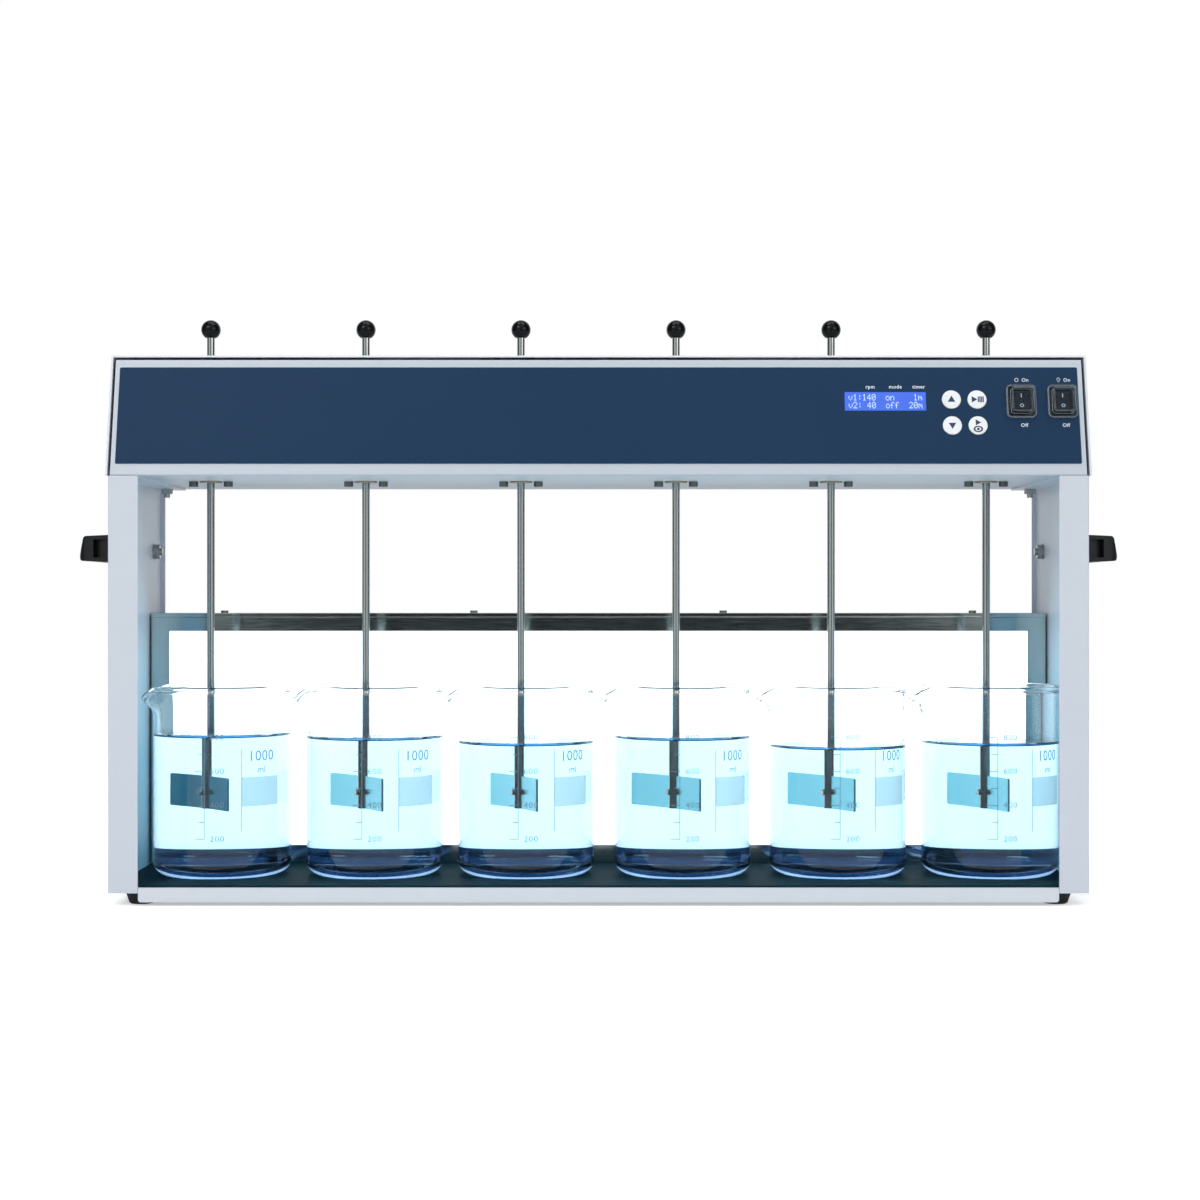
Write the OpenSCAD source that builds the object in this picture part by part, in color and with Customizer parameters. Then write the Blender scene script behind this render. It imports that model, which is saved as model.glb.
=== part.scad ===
// Six-place jar tester: a portal frame whose stirring head turns six paddles in six
// one-litre beakers, in front of a light box. Units are millimetres. The front faces -Y,
// +Z is up, and the origin is on the bench, under the middle of the body.

/* [Body] */
// Width over the two side panels
body_w = 723; // [720:1:740]
// Depth of the stirring head, which is the depth of the whole body
head_d = 186; // [185:1:220]
// Height of the head's underside above the bench
head_z = 317; // [312:1:330]
// Height of the head
head_h = 91; // [90:1:100]
// How far the head's front leans back from bottom to top
head_lean = 20.5; // [14:0.5:24]
// Thickness of the folded sheet steel
sheet = 1.5; // [1.2:0.1:2]
// Gap between the front panel and the hood round it
seam = 2; // [1:0.1:2.4]

/* [Side panels] */
// Depth of a side panel
side_d = 177; // [176:1:184]
// Width of the flanges at a panel's front and top
flange_w = 22; // [18:0.5:23]
// Width of the flange under a panel, which takes the feet
sole_w = 30; // [28:1:34]
// Width of the lip at a panel's back
back_lip = 5; // [3:0.5:8]
// Height of the rubber feet
foot_h = 9.3; // [9:0.1:14]
// Largest radius of a foot
foot_r = 12; // [9:0.5:12.5]
// Distance of a foot's centre from the panel's outside
foot_in = 21.5; // [16:0.5:22]

/* [Handles] */
// Distance between a handle's two screws
handle_pitch = 100; // [90:1:106]
// Height of a handle
handle_h = 21; // [18:0.5:26]
// How far a handle stands out from its panel
handle_out = 34; // [32:1:46]
// Thickness of a handle's grip
grip_t = 9.5; // [8:0.5:11]
// Height of a handle's middle above the bench
handle_z = 264.5; // [240:0.5:275]
// Distance of a handle's middle from the front
handle_back = 100; // [95:1:105]

/* [Base] */
// Thickness of the deck that the beakers stand on
deck_t = 2.5; // [2:0.1:3]
// Height of the lip at the front of the deck
deck_lip_h = 10.6; // [8:0.2:11]
// Thickness of the black mat
mat_t = 1.4; // [0.8:0.1:2]

/* [Light box] */
// Distance of the light box's front from the front of the body
light_back = 133; // [132:0.5:135]
// Depth of the light box
light_d = 40; // [30:1:41]
// Height of the light box
light_h = 200.3; // [170:0.1:205]
// Width of the frame round the lit face
bezel_w = 14.5; // [10:0.5:18]
// Thickness of the opal sheet
opal_t = 3; // [2:0.5:4]
// Side gap between the light box and the side panels
light_gap = 1.5; // [1:0.1:3]

/* [Stirrers] */
// Distance between neighbouring stirrers
pitch = 120; // [119:0.5:120.5]
// Distance of the stirrers from the front of the body
rod_back = 77; // [74:0.5:78]
// Diameter of a stirrer rod
rod_d = 6; // [5:0.1:7]
// Length of a stirrer rod
rod_l = 370.5; // [365:0.5:385]
// Height of a rod's lower end above the mat, with the paddle at work
paddle_z = 50.8; // [45:0.1:60]
// Length of a paddle blade
blade_w = 75; // [60:1:80]
// Height of a paddle blade
blade_h = 25; // [20:0.5:30]
// Thickness of a paddle blade
blade_t = 1.5; // [1:0.1:2]
// Diameter of the ball knob on a rod
knob_d = 15; // [12:0.5:18]
// How far each paddle is turned from facing front, in degrees
blade_turn = [-60, -65, -70, -65, -70, -76];

/* [Beakers] */
// Outer diameter of a beaker
beaker_d = 105; // [95:0.5:106]
// Height of a beaker
beaker_h = 145; // [120:1:150]
// Thickness of a beaker's glass
glass_t = 2.4; // [2:0.1:3]
// Radius of the bend at a beaker's foot
beaker_foot_r = 10; // [8:0.5:14]
// How far the pouring lip stands out
spout_out = 9.5; // [5:0.5:10]
// How far each beaker stands to the right of its stirrer
beaker_shift = [9, 7, 4, 5, 5, 3];

/* [Front panel] */
// Width of the blue label
label_w = 713; // [712:0.5:715]
// Height of the blue label, up the slope
label_h = 74.6; // [72:0.1:78]
// Height of the label's lower edge above the panel's, up the slope
label_s = 9.1; // [8:0.1:9.6]
// Thickness of the label
label_t = 0.4; // [0.3:0.1:0.6]
// Width of the display
display_w = 60; // [50:0.5:62]
// Height of the display
display_h = 14; // [12:0.1:18]
// Middle of the display, from the panel's middle and lower edge
display_at = [213, 57.3];
// Diameter of a key
key_d = 14; // [11:0.1:14.4]
// How far a key travels when it is pressed
key_travel = 0.5; // [0.3:0.05:0.7]
// Middle of the four keys, from the panel's middle and lower edge
keys_at = [271.5, 48.5];
// Distances between the keys, across and up the slope
key_pitch = [19, 20.1];
// Middle of the left switch, from the panel's middle and lower edge
switch_at = [313.5, 56.7];
// Distance between the two switches
switch_pitch = 30.7; // [27:0.1:31]
// Width of a switch's splash cover
cover_w = 22; // [20:0.1:23]
// Height of a switch's splash cover, up the slope
cover_h = 25.5; // [25:0.1:29]
// Tilt of a switch's rocker either way from level, in degrees
rocker_tilt = 8; // [5:0.5:9]

/* [Drive] */
// Radius of a spindle's belt drum
drum_r = 14; // [11:0.5:16]
// Radius of the motor's belt drum
motor_drum_r = 7; // [5:0.5:9]
// Outer diameter of a spindle's sleeve
sleeve_d = 10; // [9:0.5:12]
// Height of a belt
belt_h = 6; // [5:0.5:7]
// Thickness of a belt
belt_t = 1.5; // [1:0.1:2]
// Diameter of the motor
motor_d = 36; // [30:1:40]
// Thickness of the plate that carries the upper bearings and the motor
rail_t = 5; // [4:0.5:6]

/* [Hidden] */
$fn = 48;

// Fits: a turning or sliding shaft, a screw in its hole, and parts that just clear
running_gap = 0.05;
hole_gap = 0.25;
clear_gap = 0.3;
// How far a cutter runs past the face that it opens
past = 1;

// Planes of the body
front_y = -head_d / 2;
back_y = head_d / 2;
side_x = body_w / 2;
wall_x = side_x - sheet;
rod_y = front_y + rod_back;
head_w = body_w + 2 * (sheet + 0.5);
head_top = head_z + head_h;
side_top = head_z;
deck_top = foot_h + sheet + deck_t;
mat_top = deck_top + mat_t;
light_y = front_y + light_back;
lean = atan(head_lean / head_h);
slope_l = norm([head_lean, head_h]);

// Heights in the drive, from the head's underside up
block_z = head_z + sheet;
block_h = 10;
shoulder_h = 6;
drum_gap = 1;
drum_flange = 1;
drum_h = belt_h + 2 * (drum_flange + drum_gap / 2);
drum_z = [for (level = [0, 1]) block_z + block_h + clear_gap + shoulder_h + level * drum_h];
rail_z = drum_z[1] + drum_h + clear_gap;
collar_h = 5;
sleeve_z = head_z - 1;

function station_x(i) = (i - 3.5) * pitch;
motor_xy = [station_x(1) + pitch / 2, rod_y + 42];

// Point on a circle of radius r about c
function polar(c, r, a) = c + r * [cos(a), sin(a)];
// Turn from angle a to angle b the short way
function short_turn(a, b) = b - a > 180 ? b - a - 360 : b - a < -180 ? b - a + 360 : b - a;
// Arc of radius r that rounds corner p between its neighbours a and b
function rounded(a, p, b, r, steps) =
    let (u = (a - p) / norm(a - p), v = (b - p) / norm(b - p), half = acos(u * v) / 2,
        c = p + (u + v) / norm(u + v) * r / sin(half),
        s = p + u * r / tan(half) - c, e = p + v * r / tan(half) - c,
        a0 = atan2(s.y, s.x), turn = short_turn(a0, atan2(e.y, e.x)))
    [for (i = [0:steps]) polar(c, r, a0 + turn * i / steps)];
// Outline through pts, with corner i rounded to radii[i]
function outline(pts, radii, steps = 5) =
    let (n = len(pts))
    [for (i = [0:n - 1]) each radii[i] == 0 ? [pts[i]]
        : rounded(pts[(i + n - 1) % n], pts[i], pts[(i + 1) % n], radii[i], steps)];
// Rectangle w by h about the origin with corners of radius r
function plate_outline(w, h, r) =
    outline([[-w, -h] / 2, [w, -h] / 2, [w, h] / 2, [-w, h] / 2], [r, r, r, r]);

// Extrudes a Y-Z outline across X, from x0 to x1
module across(x0, x1) { translate([x0, 0, 0]) rotate([90, 0, 90]) linear_extrude(x1 - x0) children(); }
// Extrudes an X-Z outline along Y, from y0 to y1
module along(y0, y1) { translate([0, y1, 0]) rotate([90, 0, 0]) linear_extrude(y1 - y0) children(); }
module box(low, high) { translate(low) cube(high - low); }
module rounded_plate(w, h, r, t) { linear_extrude(t) polygon(plate_outline(w, h, r)); }
module mirrored_x() { children(); mirror([1, 0, 0]) children(); }
module at_stations() { for (i = [1:6]) translate([station_x(i), rod_y, 0]) children(); }
// Puts children on the front panel: X across, Y up the slope, Z out of the face
module on_fascia(at) { translate([0, front_y, head_z]) rotate([90 - lean, 0, 0]) translate(at) children(); }
module screw(shank_r, shank_l, head_r, head_t) {
    translate([0, 0, -shank_l]) cylinder(h = shank_l + head_t / 2, r = shank_r);
    difference() {
        cylinder(h = head_t, r = head_r);
        translate([0, 0, head_t / 2]) cylinder(h = head_t, r = head_r * 0.5, $fn = 6);
    }
}

// ---- Side panels, base and feet ----

// A side panel is one folded sheet: wall, front flange, back lip, top flange and sole
module side_panel() {
    back = front_y + side_d;
    plan = outline([[side_x, front_y], [side_x, back], [side_x - back_lip, back],
        [side_x - back_lip, back - sheet], [wall_x, back - sheet], [wall_x, front_y + sheet],
        [side_x - flange_w, front_y + sheet], [side_x - flange_w, front_y]],
        [1.5, 1.5, 0, 0, 0, 0, 0, 0]);
    difference() {
        union() {
            translate([0, 0, foot_h]) linear_extrude(side_top - foot_h) polygon(plan);
            box([side_x - flange_w, front_y + sheet / 2, side_top - sheet], [wall_x + sheet / 2, back - sheet / 2, side_top]);
            box([side_x - sole_w, front_y + sheet, foot_h], [wall_x + sheet / 2, back - sheet / 2, foot_h + sheet]);
        }
        for (y = handle_screw_y) translate([wall_x - past, y, handle_z]) rotate([0, 90, 0])
            cylinder(h = sheet + 2 * past, r = handle_screw_r + hole_gap);
        for (y = foot_y) translate([foot_x, y, foot_h - past])
            cylinder(h = sheet + 2 * past, r = foot_stud_r + hole_gap);
        for (y = head_bolt_y) translate([head_bolt_x, y, side_top - sheet - past])
            cylinder(h = sheet + 2 * past, r = head_bolt_r + hole_gap);
    }
}
module side_panel_right() { color("#d3d9e2") side_panel(); }
module side_panel_left() { color("#d3d9e2") mirror([1, 0, 0]) side_panel(); }

head_bolt_x = side_x - flange_w / 2;
head_bolt_inset = [30, 22];
head_bolt_y = [front_y + head_bolt_inset[0], front_y + side_d - head_bolt_inset[1]];
head_bolt_r = 2.5;
head_bolt_head_r = 4.4;
// Bolts that hold the head on the panels' top flanges, with a nut below and a head inside
module head_bolts() {
    color("#8d8f8c") mirrored_x() for (y = head_bolt_y) translate([head_bolt_x, y, side_top]) {
        translate([0, 0, -sheet - 7]) cylinder(h = 7 + 2 * sheet + 1, r = head_bolt_r);
        translate([0, 0, -sheet - 4]) cylinder(h = 4, r = 4.6, $fn = 6);
        translate([0, 0, sheet]) cylinder(h = 3, r = head_bolt_head_r);
    }
}
foot_x = side_x - foot_in;
foot_y = [front_y + 18, front_y + side_d - 18];
foot_stud_r = 2.5;
foot_taper = 2.5;
module foot() {
    rotate_extrude() polygon([[0, 0], [foot_r - foot_taper - 1, 0], [foot_r - foot_taper, 1],
        [foot_r, foot_h - 1], [foot_r, foot_h], [foot_stud_r, foot_h], [foot_stud_r, foot_h + sheet], [0, foot_h + sheet]]);
}
module feet() { color("#26282b") mirrored_x() for (y = foot_y) translate([foot_x, y, 0]) foot(); }

// Deck with a lip folded down at the front, between the panels' front flanges
module base_tray() {
    lip_x = side_x - flange_w - clear_gap;
    deck_x = wall_x - clear_gap;
    back = front_y + side_d - sheet - clear_gap;
    deck_z = deck_top - deck_t;
    color("#dde2ea") union() {
        difference() {
            box([-deck_x, front_y + sheet + clear_gap, deck_z], [deck_x, back, deck_top]);
            for (x = [-deck_vent_x, deck_vent_x], k = [-2:2]) translate([x, deck_vent_y + 12 * k, deck_z - past])
                rounded_plate(60, 4, 2, deck_t + 2 * past);
        }
        box([-lip_x, front_y + sheet / 2, deck_z], [lip_x, front_y + 2 * sheet, deck_top]);
        along(front_y, front_y + sheet) polygon(outline([[-lip_x, deck_top - deck_lip_h], [lip_x, deck_top - deck_lip_h],
            [lip_x, deck_top], [-lip_x, deck_top]], [2, 2, 2, 2]));
        box([-deck_x + sole_w, back - sheet, deck_top - deck_lip_h], [deck_x - sole_w, back, deck_top - deck_t / 2]);
    }
}
deck_vent_x = body_w / 4;
deck_vent_y = light_y + light_d / 2 - 12;
module deck_mat() {
    color("#1c2a30") translate([0, 0, deck_top]) difference() {
        box([-wall_x + 2, front_y + 2 * sheet, 0], [wall_x - 2, light_y - clear_gap, mat_t]);
        mirrored_x() box([side_x - flange_w - clear_gap, front_y, -past], [side_x, front_y + 2 * sheet + 2, mat_t + past]);
    }
}

// ---- Carrying handles ----

handle_screw_r = 3;
handle_y = front_y + handle_back;
handle_screw_y = [handle_y - handle_pitch / 2, handle_y + handle_pitch / 2];
leg_w = 15;
pocket = 11;
// A bridge handle: two hollow legs and a grip, drawn for the right-hand panel
module handle() {
    half = handle_pitch / 2;
    foot_v = half + leg_w / 2 + 4.5;
    top_v = foot_v - 9;
    gap_u = handle_out - grip_t;
    plan = outline([[0, -foot_v], [handle_out, -top_v], [handle_out, top_v], [0, foot_v],
        [0, half - leg_w / 2], [gap_u, half - leg_w / 2 - 5], [gap_u, -half + leg_w / 2 + 5], [0, -half + leg_w / 2]],
        [1, 9, 9, 1, 1, 6, 6, 1]);
    side = outline([[0, -handle_h / 2], [handle_out, -handle_h / 2 + 1.2], [handle_out - 4.5, handle_h / 2 - 1], [0, handle_h / 2]],
        [0.8, 3, 3, 0.8]);
    translate([side_x, handle_y, handle_z]) difference() {
        intersection() {
            translate([0, 0, -handle_h]) linear_extrude(2 * handle_h) polygon(plan);
            along(-foot_v - past, foot_v + past) polygon(side);
        }
        for (s = [-1, 1]) {
            // Moulded pocket in each leg's end, tapering to its floor
            translate([gap_u * 0.58, s * (foot_v + 2), 0]) rotate([0, 0, s * -14])
                translate([-gap_u * 0.42, -pocket, -handle_h / 2 + 3.6]) cube([gap_u * 0.78, 2 * pocket, handle_h - 7.2]);
            translate([-past, s * half, 0]) rotate([0, 90, 0]) cylinder(h = 9, r = handle_screw_r + hole_gap);
        }
    }
}
module handle_right() { color("#17181b") handle(); }
module handle_left() { color("#17181b") mirror([1, 0, 0]) handle(); }
// Studs moulded into the handles, each with a washer and a nut inside the panel
module handle_nuts() {
    washer_t = 1;
    nut_t = 4;
    color("#8d8f8c") mirrored_x() for (y = handle_screw_y)
        translate([wall_x, y, handle_z]) rotate([0, -90, 0]) {
            cylinder(h = washer_t, r = 6.2);
            translate([0, 0, washer_t]) cylinder(h = nut_t, r = 5.75, $fn = 6);
            translate([0, 0, -sheet - 7]) cylinder(h = sheet + 7 + washer_t + nut_t + 2, r = handle_screw_r);
        }
}

// ---- Stirring head ----

// Front face's Y at height z
function fascia_y(z) = front_y + head_lean * (z - head_z) / head_h;
head_profile = outline([[front_y, head_z], [back_y, head_z], [back_y, head_top], [fascia_y(head_top), head_top]],
    [0, 0, 3, 1.5]);
guide_r = 6;
guide_h = 1.5;
vent_h = 26;
hood_screw_x = [-0.46, -0.15, 0.15, 0.46] * body_w;
hood_screw_z = head_z + 9;

// Hood: top, back and two cheeks, open in front and below
module head_hood() {
    inner = [[front_y - past, head_z - past], [back_y - sheet, head_z - past],
        [back_y - sheet, head_top - sheet], [front_y - past, head_top - sheet]];
    color("#d9dee6") difference() {
        across(-head_w / 2, head_w / 2) polygon(head_profile);
        across(-head_w / 2 + sheet, head_w / 2 - sheet) polygon(inner);
        at_stations() translate([0, 0, head_top - sheet - past]) cylinder(h = sheet + 2 * past, r = guide_r + hole_gap);
        for (side = [-1, 1], k = [0:9]) translate([side * body_w * 0.2 + (k - 4.5) * 8, back_y - past, head_z + head_h * 0.55])
            rotate([90, 0, 0]) translate([0, 0, -2 * past]) rounded_plate(3.2, vent_h, 1.6, sheet + 2 * past + 1);
        translate([inlet_x, back_y, inlet_z]) cube([inlet_w + 2 * clear_gap, 4 * sheet, inlet_h + 2 * clear_gap], center = true);
        for (x = hood_screw_x) translate([x, back_y + past, hood_screw_z]) rotate([90, 0, 0])
            cylinder(h = sheet + 2 * past, r = 1.5 + hole_gap);
    }
}
module hood_screws() {
    color("#9a9c9a") for (x = hood_screw_x) translate([x, back_y, hood_screw_z]) rotate([-90, 0, 0]) screw(1.5, 6, 2.8, 0.1);
}
module rod_guides() {
    color("#2b2d30") at_stations() translate([0, 0, head_top]) difference() {
        rotate_extrude() polygon([[0, -sheet - 1], [guide_r, -sheet - 1], [guide_r, 0], [guide_r + 2, 0],
            [guide_r + 1.4, guide_h], [0, guide_h]]);
        translate([0, 0, -10]) cylinder(h = 20, r = rod_d / 2 + 0.5);
    }
}

// Tray: the leaning front panel, the underside and an upstand at the back, folded from one sheet
module head_tray() {
    half_w = head_w / 2 - sheet - seam;
    top_z = head_top - sheet - seam;
    step = sheet / cos(lean);
    tray_back = back_y - sheet - clear_gap;
    upstand = 16;
    profile = outline([[front_y, head_z], [tray_back, head_z], [tray_back, head_z + upstand], [tray_back - sheet, head_z + upstand],
        [tray_back - sheet, head_z + sheet], [fascia_y(head_z + sheet) + step, head_z + sheet], [fascia_y(top_z) + step, top_z],
        [fascia_y(top_z), top_z]], [1.2, 1.2, 0, 0, 0, 0, 0, 0]);
    color("#ccd3dc") difference() {
        across(-half_w, half_w) polygon(profile);
        at_stations() {
            translate([0, 0, head_z - past]) cylinder(h = sheet + 2 * past, r = spigot_r + hole_gap);
            for (x = block_screw_x) translate([x, 0, head_z - past]) cylinder(h = sheet + 2 * past, r = block_screw_r + hole_gap);
        }
        mirrored_x() for (y = head_bolt_y) translate([head_bolt_x, y, head_z - past])
            cylinder(h = sheet + 2 * past, r = head_bolt_r + hole_gap);
        on_fascia([0, 0, -sheet - past]) {
            translate(display_at) rounded_plate(display_w + 2 * clear_gap, display_h + 2 * clear_gap, 0.5, sheet + 2 * past);
            for (k = keys) translate(key_at(k)) cylinder(h = sheet + 2 * past, r = key_d / 2 + clear_gap);
            for (k = [0, 1]) translate(switch_place(k)) rounded_plate(bezel_body.x + 2 * clear_gap, bezel_body.y + 2 * clear_gap, 1, sheet + 2 * past);
        }
        for (x = hood_screw_x) translate([x, back_y, hood_screw_z]) rotate([90, 0, 0]) cylinder(h = 4 * sheet, r = 1.5 + hole_gap);
    }
}

// ---- Front panel ----

keys = [[-0.5, 0.5], [-0.5, -0.5], [0.5, 0.5], [0.5, -0.5]];
function key_at(k) = keys_at + [k.x * key_pitch.x, k.y * key_pitch.y];
function switch_place(k) = switch_at + [k * switch_pitch, 0];
bezel_body = [cover_w - 4.2, cover_h - 4.2];
rocker_size = [11, 15.6];
rocker_well = [11.6, 17.4];
pivot_z = label_t + 0.6;
pivot_r = 1;

module fascia_label() {
    color("#213f5e") on_fascia([0, 0, 0]) difference() {
        translate([0, label_s + label_h / 2, 0]) rounded_plate(label_w, label_h, 1, label_t);
        translate([0, 0, -past]) {
            translate(display_at) rounded_plate(display_w + 2 * clear_gap, display_h + 2 * clear_gap, 0.5, 3 * past);
            for (k = keys) translate(key_at(k)) cylinder(h = 3 * past, r = key_d / 2 + clear_gap);
            for (k = [0, 1]) translate(switch_place(k)) rounded_plate(bezel_body.x + 2 * clear_gap, bezel_body.y + 2 * clear_gap, 1, 3 * past);
        }
    }
}
board_z = -sheet - key_travel - 1.4;
module display() {
    color("#4c74e8") on_fascia([display_at.x, display_at.y, board_z]) rounded_plate(display_w, display_h, 0.4, label_t - 0.05 - board_z);
}
// Circuit board behind the display and keys, on four pillars
module control_board() {
    low = [display_at.x - display_w / 2 - 8, keys_at.y - key_pitch.y / 2 - 12];
    high = [keys_at.x + key_pitch.x / 2 + 9, keys_at.y + key_pitch.y / 2 + 12];
    color("#1f5c3a") on_fascia([0, 0, 0]) {
        translate([0, 0, board_z - 1.6]) translate(low) cube([high.x - low.x, high.y - low.y, 1.6]);
        for (x = [low.x + 4, high.x - 4], s = [low.y + 4, high.y - 4])
            translate([x, s, board_z - 0.5]) cylinder(h = -sheet - board_z + 0.5, r = 2);
    }
}
module key(k) {
    color("#e9edf2") on_fascia([key_at(k).x, key_at(k).y, 0]) rotate_extrude()
        polygon([[0, -sheet - 0.9], [key_d / 2, -sheet - 0.9], [key_d / 2, label_t + 0.35], [key_d / 2 - 0.5, label_t + 0.6], [0, label_t + 0.7]]);
}

// Switch body: a well with a pivot pin across it, in a cut-out of the panel
module switch_bezels() {
    depth = 14;
    color("#16181a") for (k = [0, 1]) on_fascia([switch_place(k).x, switch_place(k).y, 0]) {
        difference() {
            union() {
                translate([0, 0, -depth]) rounded_plate(bezel_body.x, bezel_body.y, 1, depth + label_t);
                translate([0, 0, label_t]) rounded_plate(bezel_body.x + 1.6, bezel_body.y + 1.6, 2, 1.6);
            }
            translate([0, 0, -depth + 3]) rounded_plate(rocker_well.x, rocker_well.y, 0.6, depth + 5);
        }
        translate([0, 0, pivot_z]) rotate([0, 90, 0]) cylinder(h = rocker_well.x + 1, r = pivot_r, center = true);
    }
}
// Rocker with two faces that meet over its pivot, stored with I pressed
module rocker(k) {
    end = rocker_size.y / 2;
    rise = end * tan(rocker_tilt);
    profile = outline([[-end + 2, -4.5], [end - 2, -4.5], [end, -0.5], [end, 1.6 + rise], [0, 1.6], [-end, 1.6 + rise], [-end, -0.5]],
        [1, 1, 0, 0.8, 0, 0.8, 0]);
    color("#2a2c2f") on_fascia([switch_place(k).x, switch_place(k).y, pivot_z]) rotate([-rocker_tilt, 0, 0]) difference() {
        across(-rocker_size.x / 2, rocker_size.x / 2) polygon(profile);
        rotate([0, 90, 0]) cylinder(h = rocker_size.x + 2 * past, r = pivot_r + running_gap, center = true);
    }
}
// Clear splash cover over each switch: a skirt and a raised box with rounded corners
module switch_covers() {
    skirt_h = 3;
    top_h = 8.6;
    wall = 1;
    box_w = [cover_w - 6, cover_h - 6];
    color("#b9c4cc", 0.45) for (k = [0, 1]) on_fascia([switch_place(k).x, switch_place(k).y, label_t]) difference() {
        union() {
            rounded_plate(cover_w, cover_h, 4, skirt_h);
            rounded_plate(box_w.x, box_w.y, 2.6, top_h);
        }
        translate([0, 0, -past]) rounded_plate(bezel_body.x + 2.2, bezel_body.y + 2.2, 2.2, 1.9 + past);
        translate([0, 0, -past]) rounded_plate(box_w.x - 2 * wall, box_w.y - 2 * wall, 1.8, top_h - wall + past);
    }
}

// ---- Power ----

inlet_w = 28;
inlet_h = 22;
inlet_x = side_x - 70;
inlet_z = head_z + 44;
inlet_depth = 22;
// Mains inlet: a flanged body with a socket and three blades
module power_inlet() {
    depth = inlet_depth;
    color("#1b1c1e") translate([inlet_x, back_y, inlet_z]) rotate([-90, 0, 0]) {
        difference() {
            union() {
                translate([0, 0, -depth]) rounded_plate(inlet_w, inlet_h, 1, depth);
                rounded_plate(inlet_w + 6, inlet_h + 6, 2, 0.1);
            }
            translate([0, 0, -16]) rounded_plate(24, 16.5, 3, 20);
        }
        for (p = [[-7, 3], [0, -2.5], [7, 3]]) translate([p.x - 1, p.y - 2, -depth + 3]) cube([2, 4, depth - 8]);
    }
}
// Power supply in the head's rear corner: behind the bearing rail, and clear of the bolts and inlet
module power_supply() {
    room = 3;
    right = head_bolt_x - head_bolt_head_r - 2 * room;
    front = rod_y + rail_deep + room;
    size = [110, back_y - inlet_depth - room - front, 36];
    color("#b7bcc2") translate([right - size.x, front, block_z]) difference() {
        cube(size);
        for (k = [0:7]) translate([10 + 12 * k, -past, 10]) cube([4, 3, size.z - 20]);
    }
}

// ---- Light box ----

light_x = wall_x - light_gap;
light_top = mat_top + light_h;
light_brim = 3.6;
light_screw_x = [-0.42, -0.14, 0.14, 0.42] * light_x * 2;
// Stainless housing: a shallow box with a frame turned in round the lit face and a brim on top
module light_housing() {
    color("#b4b8b6") difference() {
        union() {
            box([-light_x, light_y, deck_top + clear_gap], [light_x, light_y + light_d, light_top]);
            box([-light_x, light_y - 0.8, light_top - light_brim], [light_x, light_y + 1, light_top]);
        }
        box([-light_x + 1.2, light_y + 1.2, deck_top + clear_gap + 1.2], [light_x - 1.2, light_y + light_d - 1.2, light_top - 1.2]);
        box([-light_x + bezel_w, light_y - 2 * past, mat_top + bezel_w], [light_x - bezel_w, light_y + 2 * past, light_top - bezel_w]);
        for (x = light_screw_x) translate([x, light_y + 8, light_top - 1.2 - past]) cylinder(h = 1.2 + 2 * past, r = 1.5 + hole_gap);
    }
}
module light_diffuser() {
    edge = bezel_w - 6;
    color("#f4fbff") box([-light_x + edge, light_y + 1.2, mat_top + edge], [light_x - edge, light_y + 1.2 + opal_t, light_top - edge]);
}
// Light bars on the back of the housing, each a board with a row of emitters
module led_bars() {
    back = light_y + light_d - 1.2;
    color("#e8efe9") for (k = [0:2]) translate([0, 0, mat_top + light_h * (k + 0.5) / 3]) {
        box([-light_x + 30, back - 2, -8], [light_x - 30, back, 8]);
        for (n = [-9:9]) translate([n * 34, back - 3, 0]) cube([5, 2.2, 5], center = true);
    }
}
module light_screws() {
    color("#8d8f8c") for (x = light_screw_x) translate([x, light_y + 8, light_top]) screw(1.5, 6, 3, 2);
}

// ---- Spindles, belts and motor ----

spigot_r = 8.7;
block_screw_x = [-13.4, 13.4];
block_screw_r = 2;
block_size = [38, 20];
belt_level = [[1, 2, 0], [2, 3, 1], [3, 4, 0], [4, 5, 1], [5, 6, 0]];

// Lower bearing of each spindle: a block on the tray whose spigot shows below
module bearing_blocks() {
    color("#9b9a8a") at_stations() difference() {
        union() {
            translate([0, 0, block_z]) rounded_plate(block_size.x, block_size.y, 6, block_h);
            translate([0, 0, head_z - 1]) cylinder(h = sheet + 2, r = spigot_r);
        }
        translate([0, 0, head_z - 2]) cylinder(h = block_h + 10, r = sleeve_d / 2 + running_gap);
        for (x = block_screw_x) translate([x, 0, block_z - past]) cylinder(h = block_h + 2 * past, r = block_screw_r + hole_gap);
    }
}
// Socket-head screws up through the tray, each with a nut on the block
module bearing_screws() {
    head_h = 4;
    socket_h = 2;
    color("#7d7f78") at_stations() for (x = block_screw_x) translate([x, 0, 0]) difference() {
        union() {
            translate([0, 0, head_z - head_h]) cylinder(h = head_h, r = 3.5);
            translate([0, 0, head_z - head_h / 2]) cylinder(h = head_h / 2 + sheet + block_h + 4.5, r = block_screw_r);
            translate([0, 0, block_z + block_h]) cylinder(h = 3.2, r = 3.9, $fn = 6);
        }
        translate([0, 0, head_z - head_h - past]) cylinder(h = socket_h + past, r = 1.7, $fn = 6);
    }
}
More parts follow.
